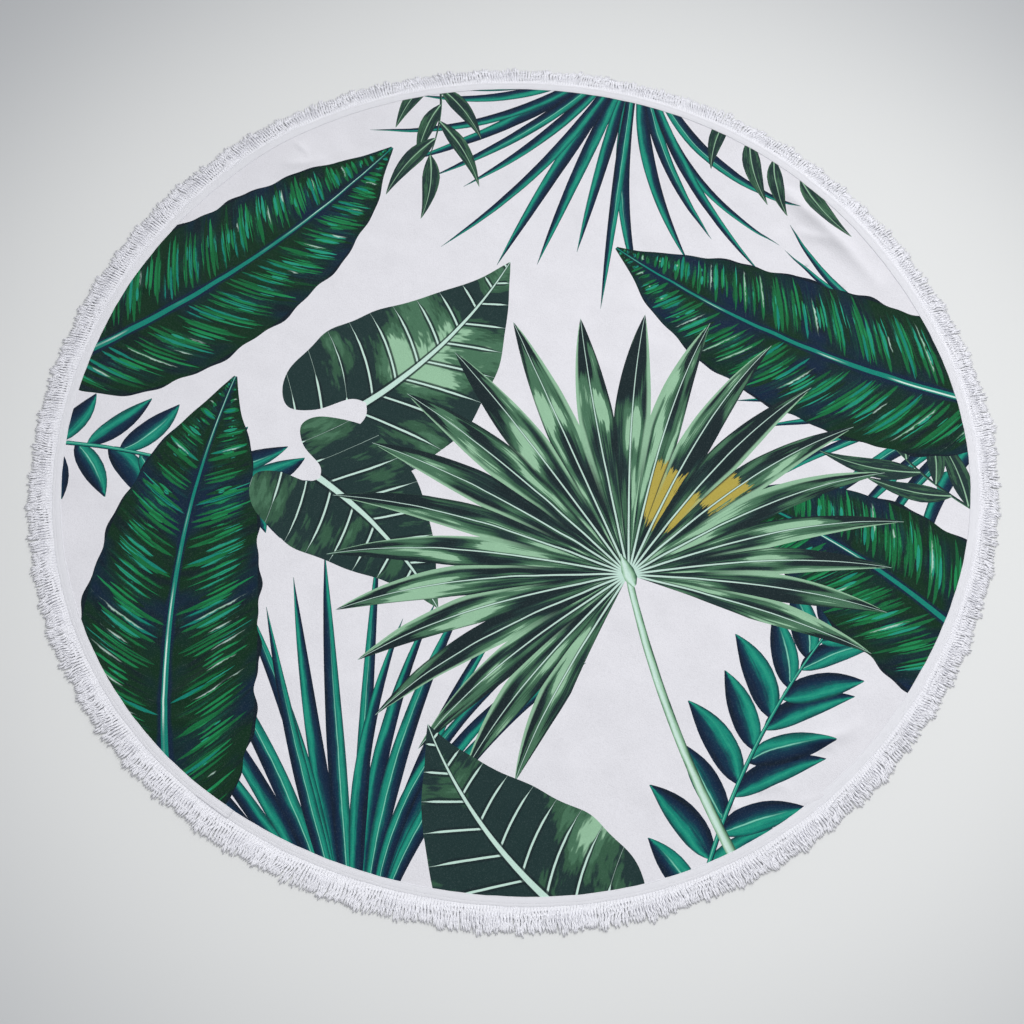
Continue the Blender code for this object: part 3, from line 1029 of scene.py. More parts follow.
# ---- the cloth's plan, split along every outline that shows -------------------
def inside(outline, points):
    """Which plan points lie inside a closed outline."""
    low, high = outline.min(0), outline.max(0)
    near = np.flatnonzero(((points >= low) & (points <= high)).all(1))
    x, y = points[near].T
    odd = np.zeros(len(near), bool)
    for (x0, y0), (x1, y1) in zip(outline, np.roll(outline, -1, 0)):
        if y0 == y1:
            continue
        cross = (y0 > y) != (y1 > y)
        odd ^= cross & (x < (x1 - x0) * (y - y0) / (y1 - y0) + x0)
    return near[odd]


def seen_lines(leaves, clip_r):
    """The stretches of outline that no later leaf covers and that lie inside the rim."""
    starts, ends, owner = [], [], []
    for k, leaf in enumerate(leaves):
        a, b = leaf.outline, np.roll(leaf.outline, -1, 0)
        keep = np.linalg.norm(b - a, axis=1) > 2e-5
        starts.append(a[keep])
        ends.append(b[keep])
        owner.append(np.full(keep.sum(), k))
    a, b, owner = np.concatenate(starts), np.concatenate(ends), np.concatenate(owner)
    # cut at the clip circle
    turn_a, turn_b = (np.arctan2(p[:, 1], p[:, 0]) for p in (a, b))
    over_a = np.linalg.norm(a, axis=1) - (clip_r + waves(RIM_WAVES, turn_a))
    over_b = np.linalg.norm(b, axis=1) - (clip_r + waves(RIM_WAVES, turn_b))
    share = (over_a / np.where(np.abs(over_a - over_b) < 1e-9, 1, over_a - over_b))[:, None]
    cut = a + (b - a) * share
    a = np.where((over_a > 0)[:, None], cut, a)
    b = np.where((over_b > 0)[:, None], cut, b)
    keep = ((over_a < 0) | (over_b < 0)) & (np.linalg.norm(b - a, axis=1) > 1e-4)
    a, b, owner = a[keep], b[keep], owner[keep]
    probes = np.concatenate([a, b, (a + b) / 2])
    whose = np.tile(owner, 3)
    covered = np.zeros(len(probes), bool)
    for k, leaf in enumerate(leaves):
        hit = inside(leaf.outline, probes)
        covered[hit[whose[hit] < k]] = True
    covered = covered.reshape(3, -1).all(0)
    return a[~covered], b[~covered]


def lattice(pitch, radius):
    rows = int(radius / (pitch * math.sqrt(3) / 2)) + 1
    points = []
    for j in range(-rows, rows + 1):
        y = j * pitch * math.sqrt(3) / 2
        xs = np.arange(-radius - pitch, radius + pitch, pitch) + (pitch / 2 if j % 2 else 0)
        points.append(np.stack([xs, np.full_like(xs, y)], 1))
    points = np.concatenate(points)
    return points[np.linalg.norm(points, axis=1) < radius]


def apart(points, others, gap):
    """Those of points that keep a gap to all of others."""
    cell = gap
    taken = {}
    for p in others:
        taken.setdefault((int(p[0] // cell), int(p[1] // cell)), []).append(p)
    out = []
    for p in points:
        i, j = int(p[0] // cell), int(p[1] // cell)
        near = [q for di in (-1, 0, 1) for dj in (-1, 0, 1) for q in taken.get((i + di, j + dj), ())]
        if all((p[0] - q[0]) ** 2 + (p[1] - q[1]) ** 2 > gap * gap for q in near):
            out.append(p)
    return np.array(out)


def split_plan(rim, lines, fill):
    """(points, triangles) of the plan inside the rim, with every line an edge."""
    a, b = lines
    ends = np.concatenate([a, b])
    grid = np.round(ends / 2e-6).astype(np.int64)
    _, first, index = np.unique(grid, axis=0, return_index=True, return_inverse=True)
    index = index.reshape(-1)
    marks = ends[first]
    n = len(rim)
    edges = [(i, (i + 1) % n) for i in range(n)]
    edges += [(int(n + index[i]), int(n + index[i + len(a)])) for i in range(len(a)) if index[i] != index[i + len(a)]]
    points = np.concatenate([rim, marks, fill])
    found = geometry.delaunay_2d_cdt([Vector(p) for p in points], edges, [], 1, 1e-7, False)
    plan = np.array([tuple(p) for p in found[0]], float)
    triangles = np.array([f for f in found[2] if len(f) == 3], np.int64)
    p, q, r = (plan[triangles[:, i]] for i in range(3))
    area = (q[:, 0] - p[:, 0]) * (r[:, 1] - p[:, 1]) - (q[:, 1] - p[:, 1]) * (r[:, 0] - p[:, 0])
    triangles = triangles[np.abs(area) > 1e-13]
    area = area[np.abs(area) > 1e-13]
    triangles[area < 0] = triangles[area < 0][:, ::-1]
    return plan, triangles


def rim_order(plan, triangles):
    """The plan's outer loop of vertices, in order and counter-clockwise."""
    edges = np.concatenate([triangles[:, [0, 1]], triangles[:, [1, 2]], triangles[:, [2, 0]]])
    key = np.sort(edges, axis=1)
    _, at, count = np.unique(key, axis=0, return_index=True, return_counts=True)
    after = {int(edges[i][0]): int(edges[i][1]) for i in at[count == 1]}
    start = next(iter(after))
    loop = [start]
    while after[loop[-1]] != start:
        loop.append(after[loop[-1]])
    assert len(loop) == len(after), "the cloth has more than one edge loop"
    return np.array(loop)


def new_mesh(name, points, faces, smooth=True):
    mesh = bpy.data.meshes.new(name)
    points, faces = np.asarray(points, np.float32), np.asarray(faces, np.int32)
    sides = faces.shape[1]
    mesh.vertices.add(len(points))
    mesh.vertices.foreach_set("co", points.reshape(-1))
    mesh.loops.add(faces.size)
    mesh.loops.foreach_set("vertex_index", faces.reshape(-1))
    mesh.polygons.add(len(faces))
    mesh.polygons.foreach_set("loop_start", np.arange(0, faces.size, sides, dtype=np.int32))
    if smooth:
        mesh.polygons.foreach_set("use_smooth", np.ones(len(faces), bool))
    mesh.update(calc_edges=True)
    mesh.validate()
    return mesh


def new_piece(name, mesh, slot, *materials):
    obj = bpy.data.objects.new(name, mesh)
    bpy.context.scene.collection.objects.link(obj)
    for material in materials:
        mesh.materials.append(material)
    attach(obj, "root")
    return obj


KINDS = ("ground", "broad", "leaflet", "blade", "twig", "stem", "fan", "stalk", "heart", "terry")
HEM_IN_R = 0.6965  # the hem's inner edge on the underside
HEM_STEP = 0.00035
FACE_PITCH = 0.0092
BACK_PITCH = 0.0150
RIM_COUNT = 600
CLIP_R = 0.7086


def printed_cloth(leaves, materials):
    turns = np.linspace(0, 2 * math.pi, RIM_COUNT, endpoint=False)
    rim = rim_points(CLOTH_R, turns)
    lines = seen_lines(leaves, CLIP_R)
    marks = np.concatenate([lines[0], lines[1], rim])
    fill = lattice(FACE_PITCH, CLOTH_R - 0.004)
    raised = height_at(fill) > 0.0002
    fine = lattice(FACE_PITCH * 0.40, CLOTH_R - 0.004)
    fine = fine[sum(crease_height(row, fine) for row in CREASES) > 0.00015]
    fill = np.concatenate([fill[~raised | (sum(crease_height(row, fill) for row in CREASES) < 0.00015)], fine])
    edge_rings = np.concatenate([rim_points(r, turns[::1] + k * 0.5 * (turns[1] - turns[0])) for k, r in enumerate((CLIP_R, TAPE_IN_R - 0.0012))])
    fill = apart(fill, np.concatenate([marks, edge_rings]), 0.0028)
    fill = np.concatenate([fill, apart(edge_rings, marks, 0.0012)])
    plan, faces = split_plan(rim, lines, fill)
    loop = rim_order(plan, faces)

    # which leaf lies topmost at each triangle
    middles = plan[faces].mean(1)
    top = np.full(len(faces), -1)
    for k, leaf in enumerate(leaves):
        top[inside(leaf.outline, middles)] = k

    # upper face
    r = np.linalg.norm(plan, axis=1)
    nominal = r - waves(RIM_WAVES, np.arctan2(plan[:, 1], plan[:, 0])) * (r / CLOTH_R) ** 4
    pressed = np.clip((nominal - (TAPE_IN_R - 0.0011)) / 0.0040, 0, 1)
    z = height_at(plan) + CLOTH_T + swell(plan) * np.clip((0.70 - nominal) / 0.02, 0, 1) - 0.00022 * pressed**2 * (3 - 2 * pressed)
    upper = np.column_stack([plan, z])

    # underside: its own coarser plan inside the same rim
    rim_plan = plan[loop]
    hem = rim_points(HEM_IN_R, turns[::2])
    hem_in = rim_points(HEM_IN_R - 0.0015, turns[::2] + 0.5 * (turns[1] - turns[0]))
    back_fill = lattice(BACK_PITCH, HEM_IN_R - 0.006)
    near = sum(crease_height(row, back_fill) for row in CREASES) > 0.00015
    fine = lattice(BACK_PITCH * 0.5, HEM_IN_R - 0.004)
    fine = fine[sum(crease_height(row, fine) for row in CREASES) > 0.00015]
    back_fill = apart(np.concatenate([back_fill[~near], fine]), np.concatenate([hem, hem_in, rim_plan]), 0.0045)
    seam_rings = [rim_points(TAPE_IN_R + SEAMS[0] + away, turns) for away in (-0.0011, 0.0, 0.0011)]
    lines = (np.concatenate([hem, *seam_rings]), np.concatenate([np.roll(ring, -1, 0) for ring in (hem, *seam_rings)]))
    back_plan, back_faces = split_plan(rim_plan, lines, np.concatenate([hem_in, back_fill]))
    back_r = np.linalg.norm(back_plan, axis=1)
    back_nominal = back_r - waves(RIM_WAVES, np.arctan2(back_plan[:, 1], back_plan[:, 0])) * (back_r / CLOTH_R) ** 4
    raised = height_at(back_plan)
    recess = HEM_STEP * (back_nominal < HEM_IN_R - 0.0004) + 0.00060 * (np.abs(back_nominal - TAPE_IN_R - SEAMS[0]) < 0.0004)
    lower = np.column_stack([back_plan, raised + recess])
    back_loop = rim_order(back_plan, back_faces)
    shift = int(np.argmin(np.linalg.norm(back_plan[back_loop] - plan[loop[0]], axis=1)))
    back_loop = np.roll(back_loop, -shift)
    assert len(back_loop) == len(loop)

    # the rim itself: two rounded steps between the faces
    base = len(upper) + len(lower)
    sides, rings = [], [loop]
    for k, (out, share) in enumerate(((0.0004, 0.72), (0.0004, 0.28))):
        ring = plan[loop] * (1 + out / CLOTH_R)
        height = height_at(plan[loop]) + (CLOTH_T - 0.00022) * share
        sides.append(np.column_stack([ring, height]))
        rings.append(base + k * len(loop) + np.arange(len(loop)))
    rings.append(back_loop + len(upper))
    wall = []
    for one, two in zip(rings[:-1], rings[1:]):
        a, b = one, np.roll(one, -1)
        c, d = two, np.roll(two, -1)
        wall.append(np.stack([a, c, d], 1))
        wall.append(np.stack([a, d, b], 1))
    wall = np.concatenate(wall)
    points = np.concatenate([upper, lower, *sides])
    all_faces = np.concatenate([faces, back_faces[:, ::-1] + len(upper), wall])
    mesh = new_mesh("printed_cloth", points, all_faces)
    assert len(mesh.polygons) == len(all_faces), "the cloth's mesh was changed"

    # colouring: material by kind, and each corner's place in its own leaf
    kind = np.full(len(all_faces), KINDS.index("terry"))
    kind[: len(faces)] = [KINDS.index("ground" if k < 0 else leaves[k].kind) for k in top]
    mesh.polygons.foreach_set("material_index", kind.astype(np.int32))
    corners = plan[faces].reshape(-1, 2)
    owner = np.repeat(top, 3)
    place = np.zeros((all_faces.size, 3), np.float32)
    share = np.zeros((all_faces.size, 3), np.float32)
    for k, leaf in enumerate(leaves):
        mine = np.flatnonzero(owner == k)
        if len(mine):
            s, t, u, v = leaf.coordinates(corners[mine])
            place[mine] = np.column_stack([s, t, np.full(len(mine), leaf.seed % 977 + 0.5)])
            share[mine] = np.column_stack([u, v, np.full(len(mine), leaf.lot)])
    for name, data in (("leaf_place", place), ("leaf_share", share)):
        mesh.attributes.new(name, "FLOAT_VECTOR", "CORNER").data.foreach_set("vector", data.reshape(-1))

    # one map for all: the face fills the square, the underside a small disc in a corner of it
    corner_points = points[all_faces.reshape(-1)][:, :2]
    flat = 0.5 + corner_points / (2 * (CLOTH_R + 0.012))
    small = 0.914 + corner_points * 0.078 / (CLOTH_R + 0.004)
    on_back = np.repeat(np.arange(len(all_faces)) >= len(faces), 3)
    uv = np.where(on_back[:, None], small, flat).astype(np.float32)
    in_wall = np.repeat(np.arange(len(all_faces)) >= len(faces) + len(back_faces), 3)
    layer = mesh.uv_layers.new(name="OFBake")
    # the wall lies as a thin ring outside the small disc
    spot = all_faces.reshape(-1)
    ring_of = np.zeros(len(points))
    ring_of[base : base + len(loop)] = 1
    ring_of[base + len(loop) :] = 2
    ring_of[loop] = 0
    ring_of[back_loop + len(upper)] = 3
    turn = np.arctan2(points[spot, 1], points[spot, 0])
    reach = 0.0782 + 0.0022 * (3 - ring_of[spot])
    ring_uv = 0.914 + np.column_stack([reach * np.cos(turn), reach * np.sin(turn)])
    uv = np.where(in_wall[:, None], ring_uv, uv).astype(np.float32)
    layer.data.foreach_set("uv", uv.reshape(-1))
    used = [materials[name] for name in KINDS]
    obj = new_piece("printed_cloth", mesh, "printed_pile", *used)
    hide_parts("towel_cloth")
    print(f"printed_cloth: {len(faces)} face, {len(back_faces)} back, {len(all_faces)} in all")
    return obj



# ---- the trim: tape, its stitching, and the fringe ----------------------------
TAPE_W = TAPE_OUT_R - TAPE_IN_R
TAPE_Z = 0.00236  # underside of the tape, just on the pressed pile
TAPE_T = 0.00092
SEAMS = (0.0019, 0.0098)  # stitched lines, from the tape's inner edge
LAP_SPAN = math.radians(2.1)  # the tape's end lies this far past its start, either side of the middle
LAP_START = math.radians(LAP_TURN) - LAP_SPAN
LAP_END = math.radians(LAP_TURN) + 2 * math.pi + LAP_SPAN
TAPE_STATIONS = 901
# across the tape's upper face, from its inner edge, in mm
ACROSS = (0.0, 0.18, 0.55, 1.05, 1.55, 1.9, 2.25, 2.8, 3.6, 4.6, 5.8, 7.0, 8.2, 9.0, 9.45, 9.8, 10.15, 10.7, 11.6, 12.6, 13.3, 13.8, 14.0)


def ease(value, low, high):
    share = np.clip((value - low) / (high - low), 0, 1)
    return share * share * (3 - 2 * share)


def ripple(turn, table):
    """Small uneven waves along the rim: (waves per turn, size, phase)."""
    return sum(size * np.sin(n * turn + phase) for n, size, phase in table)


EDGE_IN = ((61, 0.00016, 0.4), (97, 0.00012, 2.1), (173, 0.00008, 4.0))
EDGE_OUT = ((53, 0.00020, 1.7), (83, 0.00014, 0.2), (149, 0.00010, 3.3))
PUCKER = ((211, 0.00005, 0.0), (337, 0.00006, 1.0), (419, 0.00005, 2.6))


def tape_lift(turn):
    """Height of the tape's underside along its run, its end rising onto its start."""
    onto = ease(turn, LAP_END - 2 * LAP_SPAN - math.radians(0.9), LAP_END - 2 * LAP_SPAN - math.radians(0.1))
    return TAPE_Z + rim_lift(turn) + onto * (TAPE_T + 0.00006)


def tape_top(turn, across):
    """Thickness of the tape at a place across it (m from its inner edge)."""
    edge = np.minimum(across, TAPE_W - across)
    body = TAPE_T * (0.42 + 0.58 * np.sqrt(np.clip(1 - (1 - np.clip(edge / 0.0009, 0, 1)) ** 2, 0, 1)))
    for seam in SEAMS:
        body = body - 0.00026 * np.exp(-(((across - seam) / 0.00042) ** 2))
    between = 1.0 - np.exp(-(((across - SEAMS[0]) / 0.0012) ** 2)) - np.exp(-(((across - SEAMS[1]) / 0.0012) ** 2))
    body = body + ripple(turn, PUCKER) * between
    # the woven band stands a little higher between two sunk lines
    body = body + 0.00010 * (ease(across, 0.0036, 0.0044) - ease(across, 0.0076, 0.0084))
    return body


def tape_point(turn, across, up):
    """A point of the tape: across from its inner edge, up from its underside."""
    share = across / TAPE_W
    r = TAPE_IN_R + across + (1 - share) * ripple(turn, EDGE_IN) + share * ripple(turn, EDGE_OUT) + waves(RIM_WAVES, turn)
    droop = 0.00025 * ease(share, 0.72, 1.0)
    return np.stack([r * np.cos(turn), r * np.sin(turn), tape_lift(turn) + up - droop], -1)


def heading_band(material):
    turns = np.linspace(LAP_START, LAP_END, TAPE_STATIONS)
    across = np.array(ACROSS) / 1000
    under = np.array((13.9, 9.8, 5.0, 1.9, 0.1)) / 1000
    t, a = np.meshgrid(turns, across, indexing="ij")
    top = tape_point(t, a, tape_top(t, a))
    t2, a2 = np.meshgrid(turns, under, indexing="ij")
    low = tape_point(t2, a2, 0.0 * a2)
    ring = np.concatenate([top, low], 1)
    n, m = ring.shape[:2]
    points = ring.reshape(-1, 3)
    index = np.arange(n * m).reshape(n, m)
    a_, b_ = index[:-1], index[1:]
    quads = np.stack([a_, np.roll(a_, -1, 1), np.roll(b_, -1, 1), b_], -1).reshape(-1, 4)
    faces = np.concatenate([quads[:, [0, 2, 1]], quads[:, [0, 3, 2]]])
    # folded ends
    caps = []
    centre = []
    for end, flip in ((0, False), (n - 1, True)):
        mid = len(points) + len(centre)
        centre.append(ring[end].mean(0))
        loop = index[end]
        for i in range(m):
            tri = (mid, loop[i], loop[(i + 1) % m])
            caps.append(tri[::-1] if flip else tri)
    points = np.concatenate([points, np.array(centre)])
    all_faces = np.concatenate([faces, np.array(caps)])
    mesh = new_mesh("heading_band", points, all_faces)
    place = np.zeros((len(points), 3), np.float32)
    run = (turns - turns[0]) * (TAPE_IN_R + TAPE_OUT_R) / 2
    wide = np.concatenate([across, under])
    place[: n * m, 0] = np.repeat(run, m)
    place[: n * m, 1] = np.tile(wide, n)
    place[n * m :, 0] = (run[0], run[-1])
    place[n * m :, 1] = TAPE_W / 2
    mesh.attributes.new("strip_place", "FLOAT_VECTOR", "POINT").data.foreach_set("vector", place.reshape(-1))
    # map: the run cut into rows, one above the other
    rows = 24
    per = math.ceil((n - 1) / rows)
    around = np.concatenate([[0], np.cumsum(np.linalg.norm(np.diff(np.concatenate([ring[0], ring[0][:1]]), axis=0), axis=1))])
    around = around / around[-1]
    station = np.repeat(np.arange(n - 1), m)
    slot_of = np.tile(np.arange(m), n - 1)
    row = station // per
    u0, u1 = (station - row * per) / per, (station - row * per + 1) / per
    v0, v1 = around[slot_of], around[slot_of + 1]

    def at(u, v):
        return np.stack([0.004 + 0.992 * u, (row + 0.06 + 0.88 * v) / (rows + 1)], -1)

    uv = np.concatenate(
        [
            np.stack([at(u0, v0), at(u1, v1), at(u0, v1)], 1),
            np.stack([at(u0, v0), at(u1, v0), at(u1, v1)], 1),
        ]
    ).reshape(-1, 2)
    cap_uv = []
    for k in range(len(caps)):
        end, i = divmod(k, m)
        mid = np.array((0.1 + 0.3 * end, (rows + 0.5) / (rows + 1)))
        one, two = (mid + 0.012 * np.array((math.cos(x), math.sin(x))) for x in (2 * math.pi * i / m, 2 * math.pi * (i + 1) / m))
        cap_uv.extend((two, one, mid) if end else (mid, one, two))
    layer = mesh.uv_layers.new(name="OFBake")
    layer.data.foreach_set("uv", np.concatenate([uv, np.array(cap_uv)]).astype(np.float32).reshape(-1))
    obj = new_piece("heading_band", mesh, "woven_tape", material)
    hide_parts("heading_tape")
    print("heading_band:", len(all_faces))
    return obj


def tubes(paths, radii, sides, closed_ends=True):
    """Many tubes at once. paths: (tube, ring, 3); radii: (tube, ring, side) in m. Returns points and faces."""
    count, rings = paths.shape[:2]
    ahead = np.gradient(paths, axis=1)
    ahead /= np.linalg.norm(ahead, axis=2, keepdims=True)
    up = np.zeros_like(ahead)
    up[..., 2] = 1.0
    up -= ahead * (up * ahead).sum(2, keepdims=True)
    up /= np.linalg.norm(up, axis=2, keepdims=True)
    side = np.cross(ahead, up)
    turn = np.arange(sides) * 2 * math.pi / sides
    out = (
        paths[:, :, None]
        + radii[..., None] * (np.cos(turn)[None, None, :, None] * side[:, :, None] + np.sin(turn)[None, None, :, None] * up[:, :, None])
    )
    body = out.reshape(count, rings * sides, 3)
    tips = np.stack([paths[:, 0], paths[:, -1]], 1)
    points = np.concatenate([body, tips], 1)
    index = np.arange(rings * sides).reshape(rings, sides)
    a, b = index[:-1], index[1:]
    a2, b2 = np.roll(a, -1, 1), np.roll(b, -1, 1)
    one = np.concatenate([np.stack([a, b, b2], -1).reshape(-1, 3), np.stack([a, b2, a2], -1).reshape(-1, 3)])
    first, last = rings * sides, rings * sides + 1
    start = np.stack([np.full(sides, first), index[0], np.roll(index[0], -1)], 1)
    end = np.stack([np.full(sides, last), np.roll(index[-1], -1), index[-1]], 1)
    one = np.concatenate([one, start, end])
    size = rings * sides + 2
    faces = (one[None] + (np.arange(count) * size)[:, None, None]).reshape(-1, 3)
    return points.reshape(-1, 3), faces


def tube_map(mesh, count, rings, sides, columns, rows):
    """Each tube unrolled in its own cell of a grid."""
    grid_u = np.arange(rings) / (rings - 1)

    def cell(u, v):
        return np.stack([0.10 + 0.72 * u, 0.08 + 0.84 * v], -1)

    k = np.repeat(np.arange(rings - 1), sides)
    j = np.tile(np.arange(sides), rings - 1)
    u0, u1 = grid_u[k], grid_u[k + 1]
    v0, v1 = j / sides, (j + 1) / sides
    one = np.concatenate(
        [
            np.stack([cell(u0, v0), cell(u1, v0), cell(u1, v1)], 1),
            np.stack([cell(u0, v0), cell(u1, v1), cell(u0, v1)], 1),
        ]
    )
    j = np.arange(sides)
    low, high, mid = j / sides, (j + 1) / sides, (j + 0.5) / sides
    start = np.stack([cell(np.full(sides, -0.10), mid), cell(0 * low, low), cell(0 * low, high)], 1)
    end = np.stack([cell(np.full(sides, 1.18), mid), cell(0 * low + 1, high), cell(0 * low + 1, low)], 1)
    one = np.concatenate([one, start, end]).reshape(-1, 2)
    spot = np.arange(count)
    shift = np.stack([spot % columns, spot // columns], 1)
    uv = (one[None] + shift[:, None]) / np.array((columns, rows))
    mesh.uv_layers.new(name="OFBake").data.foreach_set("uv", uv.astype(np.float32).reshape(-1))


def stitch_rows(material):
    """Lock stitches in two rows on the tape, and a short row across its lapped end."""
    pitch, long, thick = 0.0040, 0.0031, 0.00023
    turns, acrosses, ways = [], [], []
    for seam in SEAMS:
        r = TAPE_IN_R + seam
        count = int((LAP_END - LAP_START - math.radians(0.5)) * r / pitch)
        at = LAP_START + math.radians(0.25) + (np.arange(count) + 0.5) * pitch / r
        # the stitches on the start of the tape lie under its end
        at = at[at > LAP_START + 2 * LAP_SPAN]
        turns.append(at)
        acrosses.append(np.full(len(at), seam))
        ways.append(np.zeros(len(at)))
    over = np.arange(4) * 0.0034 + 0.0020
    turns.append(np.full(4, LAP_END - math.radians(0.28)))
    acrosses.append(over)
    ways.append(np.ones(4))
    turn, across, way = (np.concatenate(x) for x in (turns, acrosses, ways))
    rings = 3
    place = np.linspace(-0.5, 0.5, rings)
    half = long / 2
    wobble = 0.00012 * np.sin(np.arange(len(turn)) * 2.4)
    run = place[None] * 2 * half * (1 - way)[:, None]
    cross = across[:, None] + place[None] * 2 * half * way[:, None] * 0.92 + wobble[:, None] * (1 - way)[:, None]
    spot = turn[:, None] + run / (TAPE_IN_R + cross)
    up = tape_top(spot, cross) + np.array((-0.00030, 0.00020, -0.00030))[None]
    paths = tape_point(spot, cross, up)
    radii = np.broadcast_to(thick * np.array((0.85, 1.10, 0.85))[None, :, None], (len(turn), rings, 4))
    points, faces = tubes(paths, radii, 4)
    mesh = new_mesh("tape_stitching", points, faces)
    columns = 48
    tube_map(mesh, len(turn), rings, 4, columns, math.ceil(len(turn) / columns))
    print("tape_stitching:", len(faces))
    return new_piece("tape_stitching", mesh, "woven_tape", material)


def under_stitches(material):
    """The bobbin side of the inner row, sunk in its groove under the hem."""
    pitch, long, thick = 0.0040, 0.0031, 0.00020
    r = TAPE_IN_R + SEAMS[0]
    count = int(2 * math.pi * r / pitch)
    turn = (np.arange(count) + 0.25) * 2 * math.pi / count
    rings, sides = 3, 3
    place = np.linspace(-0.5, 0.5, rings)
    spot = turn[:, None] + place[None] * long / r
    out = r + waves(RIM_WAVES, spot) * (r / CLOTH_R) ** 4
    z = rim_lift(spot) + np.array((0.00060, 0.00034, 0.00060))[None]
    paths = np.stack([out * np.cos(spot), out * np.sin(spot), z], -1)
    radii = np.full((count, rings, sides), thick)
    points, faces = tubes(paths, radii, sides)
    mesh = new_mesh("hem_stitching", points, faces)
    tube_map(mesh, count, rings, sides, 34, math.ceil(count / 34))
    print("hem_stitching:", len(faces))
    return new_piece("hem_stitching", mesh, "woven_tape", material)


HEADER_IN, HEADER_OUT = 0.7112, 0.7242
CORDS = 4000
PLY_R = 0.00078  # each cord is two plies wound round each other
PLY_OFF = 0.00050  # a ply's middle from its cord's middle
PLY_RINGS = 12
PLY_SIDES = 4
TWIST = 0.0120  # m of cord for one turn
ROOT_Z = 0.00185  # height of a cord's middle where it leaves the tape


def fringe_header(material):
    """The narrow woven edge that holds the cords; only its outer millimetre shows past the tape."""
    turns = np.linspace(0, 2 * math.pi, 480, endpoint=False)
    section = np.array(((HEADER_IN, 0.0009), (HEADER_IN + 0.0004, 0.0007), (HEADER_OUT - 0.0009, 0.0005), (HEADER_OUT, 0.0008), (HEADER_OUT - 0.0002, 0.0012), (HEADER_OUT - 0.0018, 0.0022), (0.7175, 0.0023), (HEADER_IN + 0.0004, 0.0020), (HEADER_IN, 0.0017)))
    t = turns[:, None]
    r = section[None, :, 0] + waves(RIM_WAVES, t)
    z = section[None, :, 1] + rim_lift(t)
    ring = np.stack([r * np.cos(t), r * np.sin(t), z], -1)
    n, m = ring.shape[:2]
    index = np.arange(n * m).reshape(n, m)
    b = np.roll(index, -1, 0)
    quads = np.stack([index, b, np.roll(b, -1, 1), np.roll(index, -1, 1)], -1).reshape(-1, 4)
    faces = np.concatenate([quads[:, [0, 2, 1]], quads[:, [0, 3, 2]]])
    mesh = new_mesh("fringe_header", ring.reshape(-1, 3), faces)
    place = np.zeros((n * m, 3), np.float32)
    place[:, 0] = np.repeat(turns * 0.714, m)
    place[:, 1] = np.tile(section[:, 0] - HEADER_IN, n)
    mesh.attributes.new("strip_place", "FLOAT_VECTOR", "POINT").data.foreach_set("vector", place.reshape(-1))
    obj = new_piece("fringe_header", mesh, "fringe_cord", material)
    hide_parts("fringe_comb")
    return obj


def clumps():
    """For each cord: its clump's middle, half width (both in cords) and number."""
    edges = [0]
    k = 0
    while edges[-1] < CORDS - 20:
        edges.append(edges[-1] + 6 + int(13 * shared(k, 51)))
        k += 1
    edges.append(CORDS)
    middle, half, number = np.zeros(CORDS), np.ones(CORDS), np.zeros(CORDS, int)
    for k, (a, b) in enumerate(zip(edges[:-1], edges[1:])):
        middle[a:b], half[a:b], number[a:b] = (a + b - 1) / 2, max(1.0, (b - a) / 2), k
    return middle, half, number


